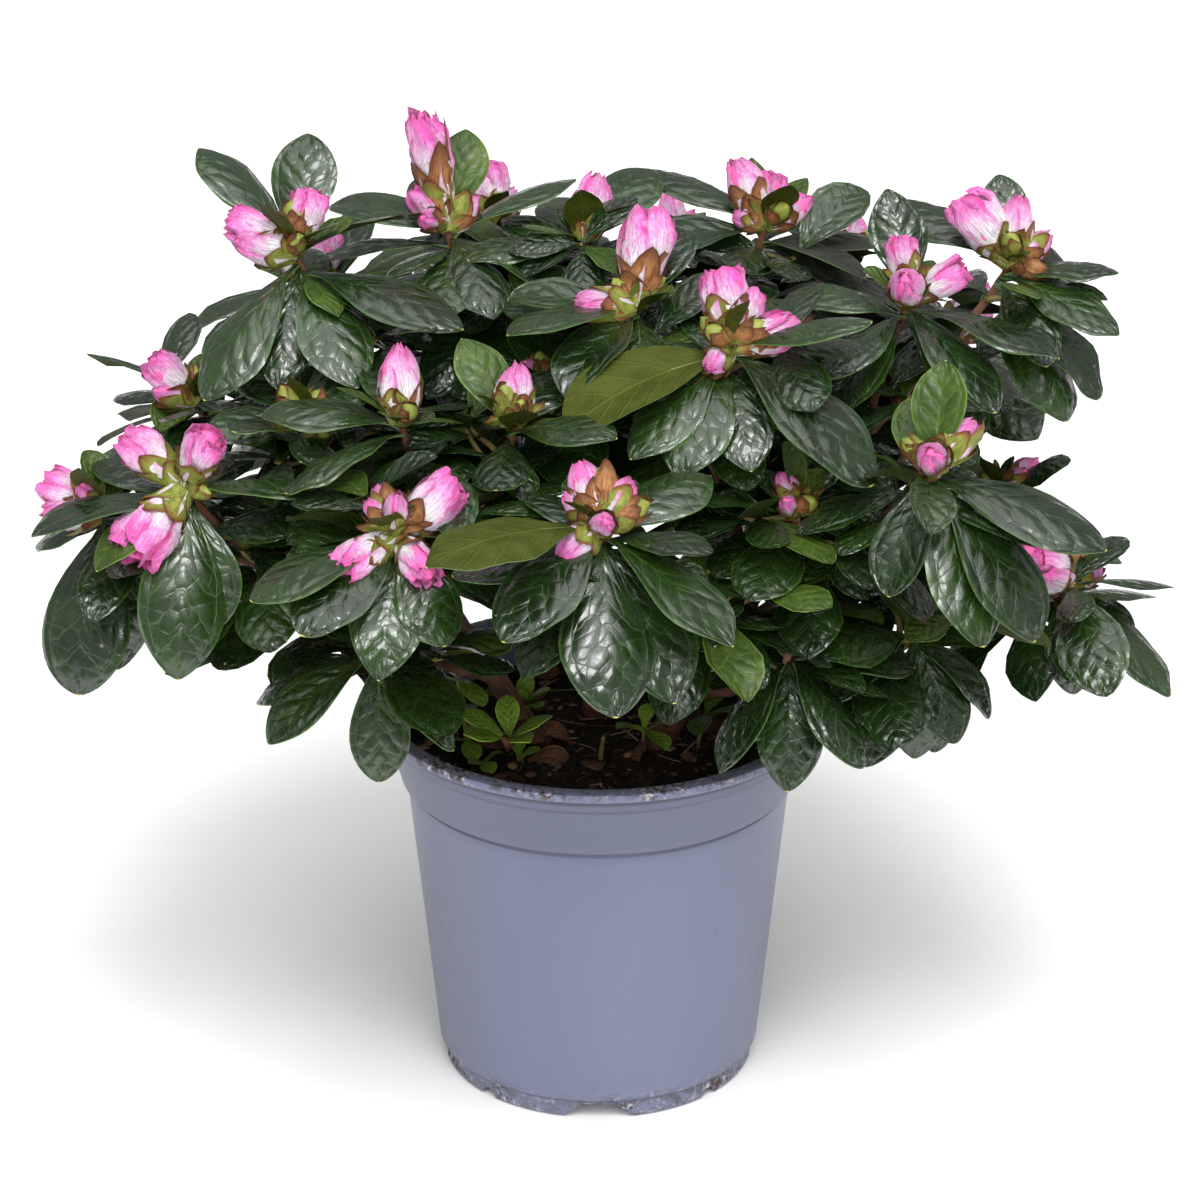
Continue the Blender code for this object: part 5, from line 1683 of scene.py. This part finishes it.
def make_stage():
    scene = bpy.context.scene
    bm = bmesh.new()
    bmesh.ops.create_grid(bm, x_segments=1, y_segments=1, size=6.0)
    floor = bpy.data.objects.new("floor", mesh_from(bm, "floor"))
    floor.location.z = -FLOOR_DROP
    floor.data.materials.append(Finish("floor_paper", (0.90, 0.90, 0.90), 0.9).material)
    scene.collection.objects.link(floor)
    world = bpy.data.worlds.new("studio")
    world.use_nodes = True
    sky = world.node_tree.nodes["Background"].inputs
    sky["Color"].default_value = (1.0, 1.0, 1.0, 1.0)
    sky["Strength"].default_value = SKY_STRENGTH
    scene.world = world
    for sun in SUNS:
        sun_light(*sun)
    scene.view_settings.view_transform = "Standard"
    rise = math.radians(CAMERA_RISE)
    lens = bpy.data.cameras.new("camera")
    lens.sensor_width = 36
    lens.lens = LENS
    lens.shift_x = LENS_SHIFT
    camera = bpy.data.objects.new("camera", lens)
    camera.location = TARGET + CAMERA_DISTANCE * Vector((0, -math.cos(rise), math.sin(rise)))
    camera.rotation_euler = (TARGET - camera.location).to_track_quat("-Z", "Y").to_euler()
    scene.collection.objects.link(camera)
    scene.camera = camera


# ---- colours and making ----------------------------------------------------------
def leaf_finishes():
    gloss = {"Specular_IOR_Level": 1.0, "Coat_Weight": 0.15, "Coat_Roughness": 0.14}
    matt = {"Specular_IOR_Level": 0.22}
    # name: darker colour, lighter colour, roughness, strength of the veins, shader values
    blades = {
        "blade_dark": ((0.0045, 0.0140, 0.0024), (0.0090, 0.0270, 0.0042), 0.23, 1.0, gloss),
        "blade_mid": ((0.0076, 0.0228, 0.0031), (0.0150, 0.0400, 0.0052), 0.25, 1.0, gloss),
        "blade_fresh": ((0.026, 0.054, 0.007), (0.052, 0.090, 0.011), 0.38, 0.8, {}),
        "blade_plum": ((0.016, 0.022, 0.014), (0.030, 0.030, 0.024), 0.42, 0.9, {}),
        "blade_lime": ((0.085, 0.152, 0.015), (0.135, 0.215, 0.024), 0.42, 0.6, {}),
        "blade_dry": ((0.050, 0.020, 0.012), (0.130, 0.062, 0.032), 0.70, 1.2, {}),
    }
    undersides = {
        "under_olive": ((0.036, 0.046, 0.003), (0.058, 0.070, 0.008), 0.62),
        "under_dark": ((0.022, 0.036, 0.006), (0.036, 0.054, 0.010), 0.58),
    }
    plain = {
        "rib_green": ((0.070, 0.110, 0.018), 0.45),
        "rib_red": ((0.110, 0.032, 0.016), 0.5),
        "rib_pale": ((0.130, 0.165, 0.050), 0.5),
        "margin_green": ((0.080, 0.140, 0.045), 0.5),
        "leaf_point": ((0.350, 0.340, 0.060), 0.5),
    }
    made = {name: blade_finish(name, *looks, **values) for name, (*looks, values) in blades.items()}
    made |= {name: plain_leaf_finish(name, *looks, **matt) for name, looks in undersides.items()}
    made |= {name: Finish(name, *looks).material for name, looks in plain.items()}
    return [made[name] for name in LEAF_FINISHES]


def bud_finishes():
    green, white, pale = (0.52, 0.56, 0.26), (0.97, 0.92, 0.93), (0.95, 0.75, 0.87)
    blush, pink, deep = (0.94, 0.46, 0.76), (0.91, 0.22, 0.60), (0.83, 0.085, 0.42)
    stops = ((0.0, 0.0, green), (0.12, 0.26, white), (0.34, 0.60, pale), (0.50, 0.80, blush),
             (0.66, 0.93, pink), (0.87, 1.04, deep))
    moss, rust, umber = (0.130, 0.165, 0.022), (0.190, 0.064, 0.020), (0.080, 0.027, 0.012)
    tan, brown = (0.380, 0.185, 0.072), (0.130, 0.042, 0.017)
    petals = {"petal_foot": white, "petal_blush": blush, "petal_pink": pink, "petal_edge": deep}
    scales = {
        "scale_green": (moss, (0.300, 0.310, 0.065), rust, 0.72),
        "scale_tan": (rust, tan, brown, 0.70),
        "scale_brown": (brown, (0.260, 0.108, 0.042), umber, 0.85),
        "bud_green": (moss, (0.280, 0.300, 0.062), rust, 0.85),
    }
    made = {name: petal_finish(name, colour, stops) for name, colour in petals.items()}
    made |= {name: scale_finish(name, *looks) for name, looks in scales.items()}
    made["bud_core"] = core_finish("bud_core", (0.74, 0.12, 0.36))
    return [made[name] for name in BUD_FINISHES]


def main():
    make_pot(pot_finish())
    make_peat(peat_finish("damp_peat", (0.010, 0.0075, 0.006), (0.040, 0.028, 0.020)))
    make_litter([peat_finish("peat_crumb", (0.010, 0.0075, 0.006), (0.040, 0.028, 0.020)),
                 bark_finish("bark_chip", (0.050, 0.026, 0.016), (0.110, 0.062, 0.038), 0.85, 0.3),
                 bark_finish("dead_leaf", (0.120, 0.060, 0.030), (0.230, 0.140, 0.080), 0.8, 0.2),
                 bark_finish("pale_fibre", (0.200, 0.150, 0.100), (0.320, 0.260, 0.190), 0.8, 0.1)])
    crown = grow_crown()
    twigs = [
        bark_finish("stem_bark", (0.044, 0.017, 0.010), (0.120, 0.054, 0.032), 0.68, 0.9),
        bark_finish("twig_bark", (0.085, 0.030, 0.015), (0.180, 0.078, 0.036), 0.6, 0.5),
        bark_finish("young_twig", (0.120, 0.110, 0.030), (0.220, 0.170, 0.060), 0.55, 0.3)]
    leaves = leaf_finishes()
    make_wood(crown, twigs)
    make_foliage(crown, leaves)
    make_peat_growth(leaves, twigs)
    make_blossom(crown, bud_finishes())
    make_stage()


main()
